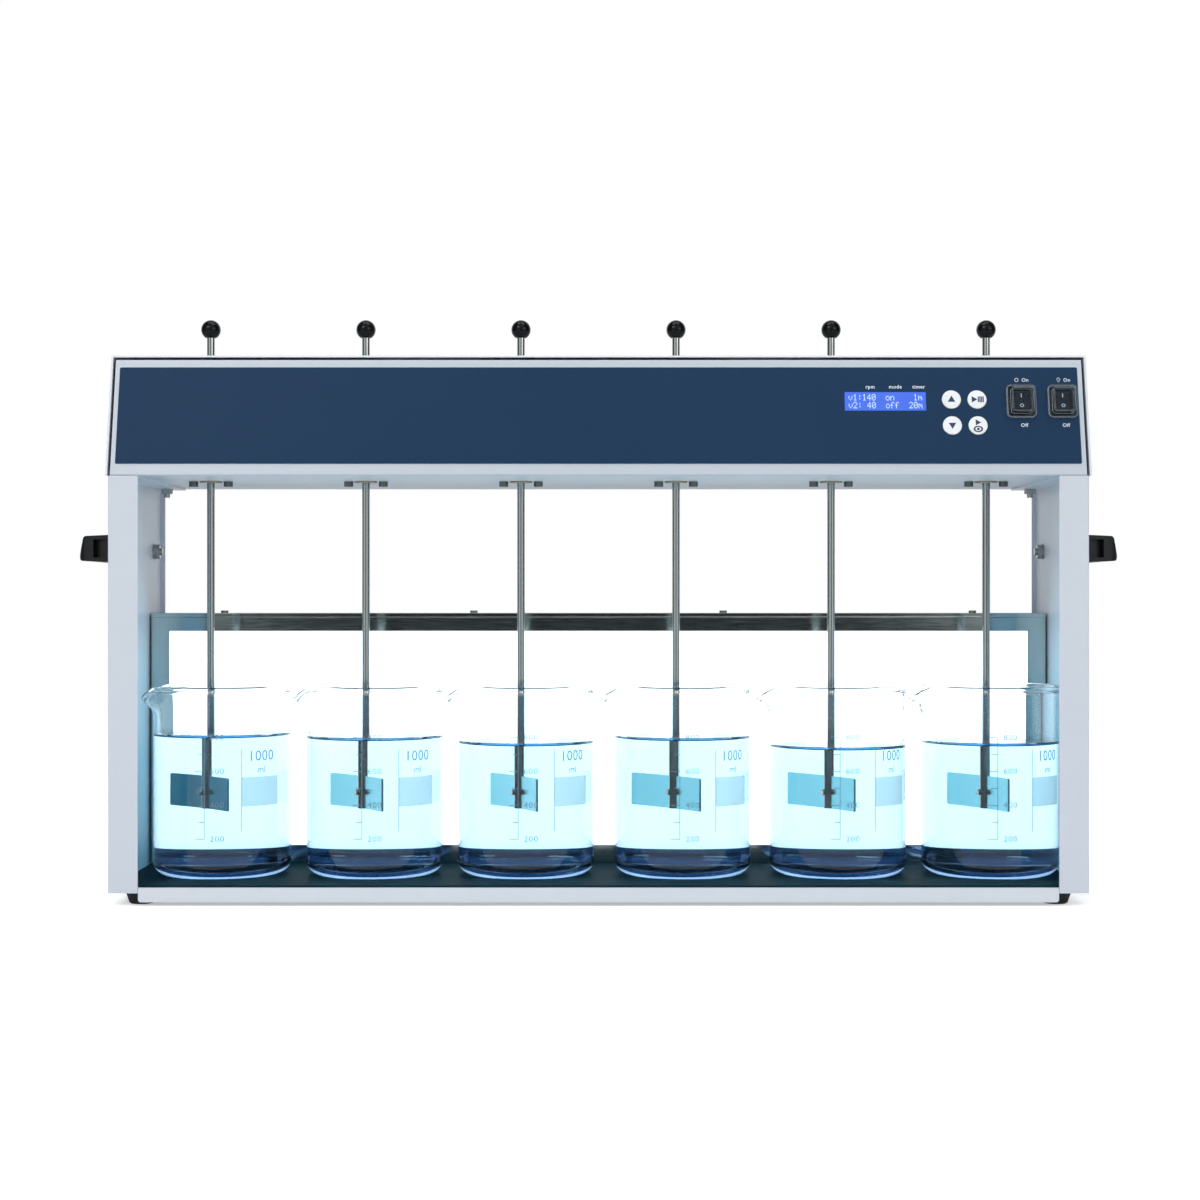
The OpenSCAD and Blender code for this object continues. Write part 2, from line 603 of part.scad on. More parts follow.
// Sleeve with a shoulder, two belt drums and a collar over the rail
module spindle(i) {
    color("#a9adb0") translate([station_x(i), rod_y, 0]) difference() {
        union() {
            translate([0, 0, sleeve_z]) cylinder(h = rail_z + rail_t + clear_gap + collar_h - sleeve_z, r = sleeve_d / 2);
            translate([0, 0, block_z + block_h + clear_gap]) cylinder(h = shoulder_h, r = sleeve_d / 2 + 3);
            for (z = drum_z) translate([0, 0, z]) drum(drum_r);
            translate([0, 0, rail_z + rail_t + clear_gap]) cylinder(h = collar_h, r = sleeve_d / 2 + 2);
        }
        translate([0, 0, sleeve_z - past]) cylinder(h = head_h, r = rod_d / 2 + running_gap);
    }
}
module drum(r) {
    rotate_extrude() polygon([[0, 0], [r + belt_t, 0], [r + belt_t, drum_flange], [r, drum_flange], [r, drum_h - drum_flange],
        [r + belt_t, drum_h - drum_flange], [r + belt_t, drum_h], [0, drum_h]]);
}
// Band of inner radius r0 about a and r1 about b, with straight runs between them
module belt(a, b, r0, r1) {
    d = norm(b - a);
    dir = atan2((b - a).y, (b - a).x);
    swing = acos((r0 - r1) / d);
    module run(g) {
        polygon(concat([for (k = [0:16]) polar(a, r0 + g, dir + swing + (360 - 2 * swing) * k / 16)],
            [for (k = [0:16]) polar(b, r1 + g, dir - swing + 2 * swing * k / 16)]));
    }
    linear_extrude(belt_h) difference() { run(belt_t); run(0); }
}
module drive_belts() {
    slack = 2 * clear_gap;
    color("#202224") {
        for (b = belt_level) translate([0, 0, drum_z[b[2]] + drum_flange + drum_gap / 2])
            belt([station_x(b[0]), rod_y], [station_x(b[1]), rod_y], drum_r + slack, drum_r + slack);
        translate([0, 0, drum_z[1] + drum_flange + drum_gap / 2])
            belt([station_x(1), rod_y], motor_xy, drum_r + slack, motor_drum_r + slack);
    }
}
// Plate over the belts: upper bearings, motor seat and posts down to the tray
rail_deep = 24;
module bearing_rail() {
    post_x = [-3, -2, 0, 1, 2, 3];
    deep = rail_deep;
    end_x = station_x(6) + deep;
    color("#8f959b") difference() {
        union() {
            translate([0, rod_y, rail_z]) rounded_plate(2 * end_x, 2 * deep, 3, rail_t);
            translate([motor_xy.x, motor_xy.y, rail_z]) rounded_plate(motor_d + 12, 2 * (motor_xy.y - rod_y) - 10, 3, rail_t);
            for (x = post_x, s = [-1, 1]) translate([x * pitch - sign(x) * pitch / 2 * (abs(x) == 3 ? 0.86 : 0), rod_y + s * (deep - 4), block_z])
                cylinder(h = rail_z - block_z + 0.5, r = 3.5);
        }
        at_stations() translate([0, 0, rail_z - past]) cylinder(h = rail_t + 2 * past, r = sleeve_d / 2 + running_gap);
        translate([motor_xy.x, motor_xy.y, rail_z - past]) cylinder(h = rail_t + 2 * past, r = motor_boss_r + clear_gap);
    }
}
motor_boss_r = 5;
motor_shaft_r = 2.5;
module motor() {
    top = head_top - sheet - 3;
    color("#5b5f64") translate([motor_xy.x, motor_xy.y, 0]) difference() {
        union() {
            translate([0, 0, rail_z + rail_t]) cylinder(h = top - rail_z - rail_t, r = motor_d / 2);
            translate([0, 0, rail_z + 0.5]) cylinder(h = rail_t, r = motor_boss_r);
        }
        translate([0, 0, rail_z - past]) cylinder(h = rail_t + 16, r = motor_shaft_r + running_gap);
    }
}
module motor_pulley() {
    color("#c3c6c9") translate([motor_xy.x, motor_xy.y, 0]) {
        translate([0, 0, drum_z[1]]) drum(motor_drum_r);
        translate([0, 0, drum_z[1]]) cylinder(h = rail_z + rail_t + 12 - drum_z[1], r = motor_shaft_r);
    }
}

// ---- Stirrers ----

rod_z = mat_top + paddle_z;
pin_r = 1.2;
knob_bore = 9;
module rod() {
    difference() {
        cylinder(h = rod_l, r = rod_d / 2);
        translate([-rod_d, -blade_t / 2 - running_gap, -past]) cube([2 * rod_d, blade_t + 2 * running_gap, blade_h + past + running_gap]);
        translate([0, 0, blade_h / 2]) rotate([90, 0, 0]) cylinder(h = 2 * rod_d, r = pin_r + running_gap, center = true);
    }
}
// Blade in the rod's slot, held by a cheese-head screw and a nut
module paddle() {
    difference() {
        along(-blade_t / 2, blade_t / 2) translate([0, blade_h / 2]) polygon(plate_outline(blade_w, blade_h, 1));
        translate([0, 0, blade_h / 2]) rotate([90, 0, 0]) cylinder(h = 2 * blade_t, r = pin_r + running_gap, center = true);
    }
    translate([0, 0, blade_h / 2]) rotate([90, 0, 0]) {
        cylinder(h = rod_d + 1, r = pin_r, center = true);
        translate([0, 0, rod_d / 2]) cylinder(h = 2, r = 2.2);
        translate([0, 0, -rod_d / 2 - 2]) cylinder(h = 2, r = 2.2, $fn = 6);
    }
}
module stirrer(i) {
    color("#b9bdbf") translate([station_x(i), rod_y, rod_z]) rotate([0, 0, blade_turn[i - 1]]) {
        rod();
        paddle();
    }
}
// Ball knob on the rod's top end, with a flat where the rod enters
module knob(i) {
    r = knob_d / 2;
    flat_r = rod_d / 2 + 1;
    foot_a = -acos(flat_r / r);
    color("#101113") translate([station_x(i), rod_y, rod_z + rod_l - knob_bore + r]) difference() {
        rotate_extrude() polygon(concat([for (k = [0:16]) polar([0, 0], r, foot_a + (90 - foot_a) * k / 16)], [[0, r * sin(foot_a)]]));
        translate([0, 0, -r - past]) cylinder(h = knob_bore + past, r = rod_d / 2 + running_gap);
    }
}

// ---- Beakers ----

// One-litre beaker with a beaded rim and a pouring lip towards -X
module beaker() {
    r = beaker_d / 2;
    ri = r - glass_t;
    f = beaker_foot_r;
    fi = f - glass_t;
    bead = 0.9;
    rim = beaker_h - 2 * bead;
    bowl = concat([[0, 0]], [for (k = [0:6]) polar([r - f, f], f, -90 + 15 * k)],
        [[r, rim], [r + bead, rim + bead], [r, beaker_h], [ri, beaker_h]],
        [for (k = [0:6]) polar([ri - fi, f], fi, -15 * k)], [[0, glass_t]]);
    spout_h = 12;
    spout_r = 7;
    difference() {
        union() {
            rotate_extrude($fn = 96) polygon(bowl);
            translate([-r - spout_out + spout_r + 1, 0, beaker_h - spout_h]) cylinder(h = spout_h, r1 = 1.5, r2 = spout_r + 1);
        }
        translate([-r - spout_out + spout_r + 1.4, 0, beaker_h - spout_h + 1.6]) cylinder(h = spout_h, r1 = 0.6, r2 = spout_r + 0.2);
    }
}
module jar(i) { color("#cfe6ee", 0.35) translate([station_x(i) + beaker_shift[i - 1], rod_y, mat_top]) beaker(); }

base_tray();
deck_mat();
side_panel_left();
side_panel_right();
feet();
handle_left();
handle_right();
handle_nuts();
head_bolts();
head_tray();
head_hood();
hood_screws();
rod_guides();
fascia_label();
display();
switch_bezels();
switch_covers();
control_board();
power_supply();
power_inlet();
light_housing();
light_diffuser();
led_bars();
light_screws();
bearing_blocks();
bearing_screws();
bearing_rail();
motor();
drive_belts();
jar(1);  // jar_1
jar(2);  // jar_2
jar(3);  // jar_3
jar(4);  // jar_4
jar(5);  // jar_5
jar(6);  // jar_6
motor_pulley();
spindle(1);  // spindle_1
spindle(2);  // spindle_2
spindle(3);  // spindle_3
spindle(4);  // spindle_4
spindle(5);  // spindle_5
spindle(6);  // spindle_6
stirrer(1);  // stirrer_1
stirrer(2);  // stirrer_2
stirrer(3);  // stirrer_3
stirrer(4);  // stirrer_4
stirrer(5);  // stirrer_5
stirrer(6);  // stirrer_6
knob(1);  // knob_1
knob(2);  // knob_2
knob(3);  // knob_3
knob(4);  // knob_4
knob(5);  // knob_5
knob(6);  // knob_6
key(keys[0]);  // key_up
key(keys[1]);  // key_down
key(keys[2]);  // key_run
key(keys[3]);  // key_view
rocker(0);  // rocker_power
rocker(1);  // rocker_light
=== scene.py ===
import math

import bmesh
import bpy
from mathutils import Matrix, Vector


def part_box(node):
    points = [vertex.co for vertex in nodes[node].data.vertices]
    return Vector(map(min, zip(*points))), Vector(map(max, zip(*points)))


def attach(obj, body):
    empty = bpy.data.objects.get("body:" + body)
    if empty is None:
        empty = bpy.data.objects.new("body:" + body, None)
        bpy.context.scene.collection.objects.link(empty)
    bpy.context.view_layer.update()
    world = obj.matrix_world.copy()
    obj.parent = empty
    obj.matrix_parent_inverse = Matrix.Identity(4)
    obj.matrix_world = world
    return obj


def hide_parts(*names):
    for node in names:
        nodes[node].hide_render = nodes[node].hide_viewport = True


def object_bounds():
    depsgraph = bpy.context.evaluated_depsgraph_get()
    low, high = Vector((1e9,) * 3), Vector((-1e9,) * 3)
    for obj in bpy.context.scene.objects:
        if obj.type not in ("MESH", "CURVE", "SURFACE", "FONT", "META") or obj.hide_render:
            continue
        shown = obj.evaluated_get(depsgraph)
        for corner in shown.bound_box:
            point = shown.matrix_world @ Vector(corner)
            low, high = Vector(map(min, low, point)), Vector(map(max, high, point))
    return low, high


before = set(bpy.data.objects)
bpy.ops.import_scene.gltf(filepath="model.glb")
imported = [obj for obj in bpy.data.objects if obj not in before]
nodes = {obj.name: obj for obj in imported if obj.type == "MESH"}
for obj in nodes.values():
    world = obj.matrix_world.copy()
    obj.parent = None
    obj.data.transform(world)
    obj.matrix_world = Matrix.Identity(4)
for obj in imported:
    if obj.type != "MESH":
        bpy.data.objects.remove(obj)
cad_low, cad_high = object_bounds()

# ---- Colours and shader nodes ----
# Every material is procedural. Its patterns lie in the piece's own coordinates, with their sizes in
# millimetres, so they ride along with it. These helpers add the nodes that most materials share.

MM = 0.001
stations = range(1, 7)


def linear(hex_colour):
    """An sRGB hex colour as the linear RGBA that a shader takes."""
    channels = [int(hex_colour[i:i + 2], 16) / 255 for i in (1, 3, 5)]
    return tuple(c / 12.92 if c < 0.04045 else ((c + 0.055) / 1.055) ** 2.4 for c in channels) + (1.0,)


def scaled(hex_colour, factor):
    """That colour with its light multiplied, held within white."""
    return tuple(min(1.0, c * factor) for c in linear(hex_colour)[:3]) + (1.0,)


def add(tree, kind, settings=None, links=None):
    """Adds a node of that kind, sets its values and plugs other nodes' outputs into it."""
    made = tree.nodes.new(kind)
    for name, value in (settings or {}).items():
        if isinstance(name, str) and hasattr(made, name) and name not in made.inputs:
            setattr(made, name, value)
        else:
            made.inputs[name].default_value = value
    for name, output in (links or {}).items():
        tree.links.new(output, made.inputs[name])
    return made


def blank_material(name):
    """An empty node material and its output."""
    made = bpy.data.materials.new(name)
    made.use_nodes = True
    made.node_tree.nodes.clear()
    return made, made.node_tree, made.node_tree.nodes.new("ShaderNodeOutputMaterial")


def noise(tree, patch_mm, **more):
    """Noise with patches of about that size, fixed to the piece."""
    place = add(tree, "ShaderNodeTexCoord")
    settings = {"Scale": 1000 / patch_mm, **more}
    return add(tree, "ShaderNodeTexNoise", settings, {"Vector": place.outputs["Object"]}).outputs[0]


def spread(tree, value, low, high, start=0.0, end=1.0):
    """Maps a value between start and end onto the range from low to high."""
    settings = {"From Min": start, "From Max": end, "To Min": low, "To Max": high}
    return add(tree, "ShaderNodeMapRange", settings, {0: value}).outputs[0]


def blend(tree, share, first, second):
    """Turns from the first linear colour to the second by that share."""
    return add(tree, "ShaderNodeMix", {"data_type": "RGBA", 6: first, 7: second}, {0: share}).outputs[2]


def relief(tree, height, strength, depth_mm):
    """Bump of that depth from a pattern of heights."""
    settings = {"Strength": strength, "Distance": depth_mm * MM}
    return add(tree, "ShaderNodeBump", settings, {"Height": height}).outputs[0]


def either(tree, first, second):
    """One where either of two ray tests holds."""
    return add(tree, "ShaderNodeMath", {"operation": "MAXIMUM"}, {0: first, 1: second}).outputs[0]


def mixed(tree, share, first, second):
    """Turns from the first shader to the second by that share."""
    return add(tree, "ShaderNodeMixShader", links={0: share, 1: first.outputs[0], 2: second.outputs[0]})


def principled(tree, output, settings, links):
    """The principled shader, plugged into the material's output."""
    made = add(tree, "ShaderNodeBsdfPrincipled", settings, links)
    tree.links.new(made.outputs[0], output.inputs["Surface"])


# ---- The camera, the studio and the bench ----
# A level camera 1.5 m in front of the panels, at half the height of the bay. The bench and the
# room are white, and soft boxes in front leave the dark end of the room to reflect in steel.

camera_distance = 1500 * MM
camera_height = 225.4 * MM
frame_width_px = 1200
focal_px = 2037
centre_offset_px = 1.5
sensor_mm = 36
view_depth = 50
bench_size = 4
bench_hex = "#F4F5F6"
bench_glow = 0.42
room_light = 0.56
room_end_hex = "#23282B"
room_side_hex = "#A9AFAC"
screen_hex = "#F2F6F6"
flag_hex = "#50585A"
room_through_hex = "#7496B2"
room_axis = (0.006, 1.0, 0.0)
# Where along that axis the room changes its shade, from the end behind the camera to the backdrop
room_end_stop = 0.0095
room_stops = [(0.0112, room_side_hex), (0.0125, screen_hex), (0.2, screen_hex), (0.3, flag_hex),
              (0.66, flag_hex)]
backdrop_stop = 0.8
# Soft boxes: name, place, width and height in metres, and power in watts
soft_boxes = [("key_box", (-1.3, -1.9, 1.7), 1.2, 0.9, 17), ("fill_box", (1.6, -1.7, 1.1), 1.1, 0.8, 7.5),
              ("top_box", (0.0, -0.2, 1.9), 1.6, 0.7, 12)]
soft_box_aim = (0, 0, 0.2)

camera = bpy.data.objects.new("camera", bpy.data.cameras.new("camera"))
bpy.context.scene.collection.objects.link(camera)
camera.data.sensor_width = sensor_mm
camera.data.lens = sensor_mm * focal_px / frame_width_px
camera.data.shift_x = centre_offset_px / frame_width_px
camera.data.clip_end = view_depth
camera.location = (0, cad_low.y - camera_distance, camera_height)
camera.rotation_euler = (math.radians(90), 0, 0)
bpy.context.scene.camera = camera
bpy.context.scene.view_settings.view_transform = "Standard"

bench_material, tree, output = blank_material("bench_white_laminate")
rays = add(tree, "ShaderNodeLightPath").outputs
lit = add(tree, "ShaderNodeMath", {"operation": "MULTIPLY", 1: bench_glow}, {0: rays["Is Camera Ray"]})
laminate = add(tree, "ShaderNodeBsdfPrincipled",
               {"Base Color": linear(bench_hex), "Roughness": 0.6, "Emission Color": linear("#FFFFFF")},
               {"Emission Strength": lit.outputs[0]})
# What glass and water show of the bench is a painted shade: there it shines dark instead of white
bench_painted_dark = add(tree, "ShaderNodeEmission", {"Color": linear(room_end_hex), "Strength": 1.0})
both = mixed(tree, rays["Is Transmission Ray"], laminate, bench_painted_dark)
tree.links.new(both.outputs[0], output.inputs["Surface"])
bench_mesh = bpy.data.meshes.new("bench")
half = bench_size / 2
corners = [(-half, -half, 0), (half, -half, 0), (half, half, 0), (-half, half, 0)]
bench_mesh.from_pydata(corners, [], [(0, 1, 2, 3)])
bench = bpy.data.objects.new("bench", bench_mesh)
bench_mesh.materials.append(bench_material)
bpy.context.scene.collection.objects.link(bench)

world = bpy.data.worlds.new("white_studio")
bpy.context.scene.world = world
world.use_nodes = True
tree = world.node_tree
tree.nodes.clear()
rays = add(tree, "ShaderNodeLightPath").outputs
sky = add(tree, "ShaderNodeTexCoord")
# Behind the object the room is white; its sides are grey, and the end behind the camera is dark
way = add(tree, "ShaderNodeVectorMath", {"operation": "DOT_PRODUCT", 1: room_axis},
          {0: sky.outputs["Generated"]})
toward = spread(tree, way.outputs["Value"], 0.0, 1.0, -1.0, 1.0)
room_shades = add(tree, "ShaderNodeValToRGB", links={0: toward})
stops = room_shades.color_ramp.elements
stops[0].position = room_end_stop
stops[0].color = linear(room_end_hex)
stops[1].position = backdrop_stop
stops[1].color = linear("#FFFFFF")
for position, shade in room_stops:
    stops.new(position).color = linear(shade)
plain_light = add(tree, "ShaderNodeBackground", {"Color": linear("#FFFFFF"), "Strength": room_light})
mirrored = add(tree, "ShaderNodeBackground", {"Strength": 1.0}, {"Color": room_shades.outputs[0]})
backdrop = add(tree, "ShaderNodeBackground", {"Color": linear("#FFFFFF"), "Strength": 1.0})
blue_end = add(tree, "ShaderNodeBackground", {"Color": linear(room_through_hex), "Strength": 1.0})
through = mixed(tree, spread(tree, toward, 0.0, 1.0, 0.5, 0.75), blue_end, backdrop)
reflected = mixed(tree, rays["Is Glossy Ray"], plain_light, mirrored)
bent = mixed(tree, rays["Is Transmission Ray"], reflected, through)
room = mixed(tree, rays["Is Camera Ray"], bent, backdrop)
tree.links.new(room.outputs[0], add(tree, "ShaderNodeOutputWorld").inputs[0])

for name, place, width, height, power in soft_boxes:
    lamp = bpy.data.objects.new(name, bpy.data.lights.new(name, "AREA"))
    lamp.data.shape = "RECTANGLE"
    lamp.data.size = width
    lamp.data.size_y = height
    lamp.data.energy = power
    lamp.location = place
    lamp.rotation_euler = (Vector(soft_box_aim) - Vector(place)).to_track_quat("-Z", "Y").to_euler()
    bpy.context.scene.collection.objects.link(lamp)

# ---- Side panels, hood and tray ----
# Cold-rolled steel sheet, 1.5 mm thick, cut and folded on a press brake and then powder coated.
# The coat rounds each fold and cut edge a little and has a fine orange peel.

coat_hex = {"side_panel_left": "#D0D7E1", "side_panel_right": "#D0D7E1", "head_tray": "#C0C9D3",
            "head_hood": "#D5DBE4"}
coat_edge = 0.35
coat_cloud_mm = 90
coat_peel_mm = 1.6


def powder_coat(name, colour):
    """Polyester powder coat: satin, with an orange peel that breaks up the highlights a little."""
    made, tree, output = blank_material(name)
    cloud = noise(tree, coat_cloud_mm, Detail=3.0)
    peel = noise(tree, coat_peel_mm, Detail=2.0)
    principled(tree, output, {"IOR": 1.5, "Specular IOR Level": 0.5},
               {"Base Color": blend(tree, cloud, linear(colour), scaled(colour, 0.955)),
                "Roughness": spread(tree, cloud, 0.34, 0.46), "Normal": relief(tree, peel, 0.12, 0.03)})
    return made


def finish(node, material):
    """Gives a CAD piece one material and smooth curved faces."""
    mesh = nodes[node].data
    mesh.materials.clear()
    mesh.materials.append(material)
    mesh.polygons.foreach_set("material_index", [0] * len(mesh.polygons))
    mesh.polygons.foreach_set("use_smooth", [True] * len(mesh.polygons))


def round_edges(node, width_mm, segments=2):
    """Rounds the sharp edges of a CAD piece by a fold's or a mould's small radius."""
    weld = nodes[node].modifiers.new("weld", "WELD")
    weld.merge_threshold = 0.002 * MM
    bevel = nodes[node].modifiers.new("edge", "BEVEL")
    bevel.width = width_mm * MM
    bevel.segments = segments
    bevel.limit_method = "ANGLE"
    bevel.angle_limit = math.radians(35)
    bevel.use_clamp_overlap = True
    normals = nodes[node].modifiers.new("flat_faces", "WEIGHTED_NORMAL")
    normals.weight = 90
    normals.keep_sharp = True


for node, colour in coat_hex.items():
    finish(node, powder_coat("powder_coat_" + node, colour))
    round_edges(node, coat_edge)

# ---- Base tray and mat ----
# The tray is folded from the same sheet as the panels and coated white; its lip is the rail in
# front. The mat is a sheet of nitrile rubber, nearly black, with a dull shine where it is wiped.

rail_hex = "#DCE1E9"
mat_hex = "#10282F"
mat_stain_hex = "#153038"
mat_stain_mm = 60
mat_grain_mm = 0.8


def nitrile_mat(name, colour, stain_colour):
    """Calendered nitrile rubber: smooth, dark, and a little cloudy from water stains."""
    made, tree, output = blank_material(name)
    stain = noise(tree, mat_stain_mm, Detail=5.0, Roughness=0.6)
    grain = noise(tree, mat_grain_mm)
    principled(tree, output, {"IOR": 1.52, "Specular IOR Level": 0.02},
               {"Base Color": blend(tree, stain, linear(colour), linear(stain_colour)),
                "Roughness": spread(tree, stain, 0.45, 0.65), "Normal": relief(tree, grain, 0.2, 0.04)})
    return made


finish("base_tray", powder_coat("powder_coat_rail", rail_hex))
round_edges("base_tray", coat_edge)
finish("deck_mat", nitrile_mat("nitrile_mat", mat_hex, mat_stain_hex))

# ---- Feet, handles, switch frames, rod bushes and mains inlet ----
# Black mouldings: the feet are rubber, and the rest is glass-filled nylon or ABS with the fine
# spark texture of its mould, worn by hands in patches that are paler and duller.

moulded_hex = {"handle_left": "#0B0D11", "handle_right": "#0B0D11", "switch_bezels": "#08090B",
               "rod_guides": "#1C1E21", "power_inlet": "#17181A", "rocker_power": "#14161A",
               "rocker_light": "#14161A"}
feet_hex = "#1E2023"
spark_grain_mm = 0.55
wear_mm = 25
moulded_edges = {"handle_left": (0.7, 3), "handle_right": (0.7, 3), "switch_bezels": (0.25, 2),
                 "rocker_power": (0.25, 2), "rocker_light": (0.25, 2)}


def moulded_plastic(name, colour, roughness, grain_mm, depth_mm):
    """Injection moulding: spark-eroded grain under a satin sheen."""
    made, tree, output = blank_material(name)
    grain = noise(tree, grain_mm, Detail=3.0)
    wear = noise(tree, wear_mm, Detail=4.0)
    principled(tree, output, {"IOR": 1.53, "Specular IOR Level": 0.28},
               {"Base Color": blend(tree, wear, linear(colour), scaled(colour, 1.5)),
                "Roughness": spread(tree, wear, roughness - 0.07, roughness + 0.09),
                "Normal": relief(tree, grain, 0.35, depth_mm)})
    return made


for node, colour in moulded_hex.items():
    finish(node, moulded_plastic("moulded_nylon_" + node, colour, 0.36, spark_grain_mm, 0.03))
for node, (width_mm, segments) in moulded_edges.items():
    round_edges(node, width_mm, segments)
finish("feet", moulded_plastic("moulded_rubber_feet", feet_hex, 0.62, 0.9, 0.05))
round_edges("feet", 0.5, 3)

# ---- Screws, nuts, bolts and inner metal ----
# Steel fasteners with a bright zinc plate, slightly mottled, and the plain turned, sawn and
# pressed metal inside the head, which shows only when the hood is off.

# The bearing screws' zinc is darker than the rest: a painted shade for the shadow under the head
zinc_hex = {"hood_screws": "#7C7F78", "light_screws": "#7C7F78", "bearing_screws": "#6F736E",
            "motor": "#7C7F78", "handle_nuts": "#A3A7A4", "head_bolts": "#B4B9B8"}
turned_nodes = ["motor_pulley", "bearing_rail", "power_supply"] + ["spindle_%d" % i for i in stations]
turned_hex = "#C6C8CA"
bronze_hex = "#A99A78"


def plated_steel(name, colour, roughness, mottle_mm):
    """Zinc plate: metallic, with a crystal mottle that varies its shine."""
    made, tree, output = blank_material(name)
    place = add(tree, "ShaderNodeTexCoord")
    crystal = add(tree, "ShaderNodeTexVoronoi", {"Scale": 1000 / mottle_mm},
                  {"Vector": place.outputs["Object"]})
    shine = spread(tree, crystal.outputs["Distance"], roughness, roughness + 0.16)
    principled(tree, output, {"Base Color": linear(colour), "Metallic": 1.0}, {"Roughness": shine})
    return made


for node, colour in zinc_hex.items():
    finish(node, plated_steel("zinc_plated_" + node, colour, 0.3, 2.5))
    round_edges(node, 0.25, 2)
turned = plated_steel("turned_aluminium", turned_hex, 0.32, 1.2)
for node in turned_nodes:
    finish(node, turned)
finish("bearing_blocks", plated_steel("sintered_bronze", bronze_hex, 0.42, 0.6))
finish("drive_belts", moulded_plastic("neoprene_belt", "#1A1B1D", 0.55, 0.7, 0.04))
finish("control_board", moulded_plastic("solder_masked_board", "#1F5C3A", 0.3, 1.5, 0.02))
finish("led_bars", moulded_plastic("white_solder_mask", "#E9EEE8", 0.35, 1.5, 0.02))

# ---- Stirrers and their knobs ----
# Each rod is centreless-ground stainless bar, and each blade is laser-cut bright stainless sheet;
# the grind runs round the rod, so highlights stretch along it. The balls are polished phenolic.

rod_hex = "#A6ABAA"
# The blades' steel is cyan: a painted reflection of the light that the water tints
blade_cyan_reflection_hex = "#7FB8C4"
ball_hex = "#0B0C0E"
blade_half = 0.77 * MM
blade_top = 25.1 * MM
tip_share = 0.995
grind_mm = 0.35
scuff_mm = 3
# How far the grind's noise is squeezed along X, Y and Z: less means longer lines
round_the_rod = (0.15, 0.15, 1.0)
up_the_blade = (1.0, 1.0, 0.1)
along_the_box = (0.02, 1.0, 1.0)


def ground_stainless(name, colour, roughness, squeeze):
    """Ground stainless steel: fine lines across the bar that spread each highlight."""
    made, tree, output = blank_material(name)
    place = add(tree, "ShaderNodeTexCoord")
    stretched = add(tree, "ShaderNodeMapping", {"Scale": squeeze}, {"Vector": place.outputs["Object"]})
    lines = add(tree, "ShaderNodeTexNoise", {"Scale": 1000 / grind_mm, "Detail": 2.0},
                {"Vector": stretched.outputs[0]}).outputs[0]
    principled(tree, output, {"Base Color": linear(colour), "Metallic": 1.0},
               {"Roughness": spread(tree, lines, roughness - 0.06, roughness + 0.1),
                "Normal": relief(tree, lines, 0.16, 0.01)})
    return made


def polished_phenolic(name, colour):
    """Phenolic resin turned and polished: deep gloss under a few fine scuffs."""
    made, tree, output = blank_material(name)
    scuff = noise(tree, scuff_mm, Detail=6.0, Roughness=0.7)
    principled(tree, output, {"Base Color": linear(colour), "IOR": 1.55, "Specular IOR Level": 0.15},
               {"Roughness": spread(tree, scuff, 0.08, 0.22, 0.45, 0.75)})
    return made


def face_blade(node, axis, material):
    """Gives the faces of a stirrer's blade, which lie in a thin layer through its rod, their own metal,
    tinted cyan as a painted reflection.
    """
    mesh = nodes[node].data
    mesh.materials.append(material)
    foot = min(v.co.z for v in mesh.vertices)
    arms = [(v.co - axis).xy for v in mesh.vertices]
    reach = tip_share * max(arm.length for arm in arms)
    first = next(arm for arm in arms if arm.length > reach)
    # The middle of one tip's corners gives the way the blade points
    along = sum((arm for arm in arms if arm.length > reach and arm.dot(first) > 0), Vector((0, 0)))
    across = Vector((-along.y, along.x, 0)).normalized()
    for face in mesh.polygons:
        corners = [mesh.vertices[v].co for v in face.vertices]
        if all(abs((p - axis).dot(across)) < blade_half and p.z < foot + blade_top for p in corners):
            face.material_index = 1


rod_steel = ground_stainless("ground_stainless_rod", rod_hex, 0.13, round_the_rod)
painted_cyan_blade_steel = ground_stainless("stainless_blade_with_painted_reflection", blade_cyan_reflection_hex, 0.2, up_the_blade)
ball_resin = polished_phenolic("polished_phenolic_ball", ball_hex)
for i in stations:
    finish("stirrer_%d" % i, rod_steel)
    low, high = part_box("knob_%d" % i)
    face_blade("stirrer_%d" % i, Vector(((low.x + high.x) / 2, (low.y + high.y) / 2, 0)), painted_cyan_blade_steel)
    round_edges("stirrer_%d" % i, 0.2, 2)
    finish("knob_%d" % i, ball_resin)

# ---- Light box ----
# A shallow box of brushed stainless sheet, its grain along the width, round a sheet of opal
# acrylic that the light bars behind it fill evenly. It shines a slightly cool white.

housing_hex = "#B8C2C2"
opal_hex = "#F4FCFF"
opal_shade_hex = "#EAF8FD"
opal_unlit_hex = "#E8EEF0"
opal_patch_mm = 260
opal_strength = 1.45
thrown_hex = "#A8E4F6"
thrown_strength = 2.6

opal, tree, output = blank_material("opal_acrylic")
shine = blend(tree, noise(tree, opal_patch_mm, Detail=1.0), linear(opal_hex), linear(opal_shade_hex))
sheet = add(tree, "ShaderNodeBsdfPrincipled",
            {"Base Color": linear(opal_unlit_hex), "Roughness": 0.35, "Emission Strength": opal_strength},
            {"Emission Color": shine})
# Looked at, it is nearly white; the light that it throws on the walls has the water's cyan in it
rays = add(tree, "ShaderNodeLightPath").outputs
seen = either(tree, rays["Is Camera Ray"], either(tree, rays["Is Glossy Ray"], rays["Is Transmission Ray"]))
thrown = add(tree, "ShaderNodeEmission", {"Color": linear(thrown_hex), "Strength": thrown_strength})
both = mixed(tree, seen, thrown, sheet)
tree.links.new(both.outputs[0], output.inputs["Surface"])
finish("light_diffuser", opal)
finish("light_housing", ground_stainless("brushed_stainless_housing", housing_hex, 0.1, along_the_box))
round_edges("light_housing", 0.3, 2)

# ---- Front label and its printing ----
# Polyester film, printed on its back in dark blue, so the colour lies under a fine satin grain.
# The words, rings and arrows are the unprinted film's pale base, drawn as thin raised shapes.

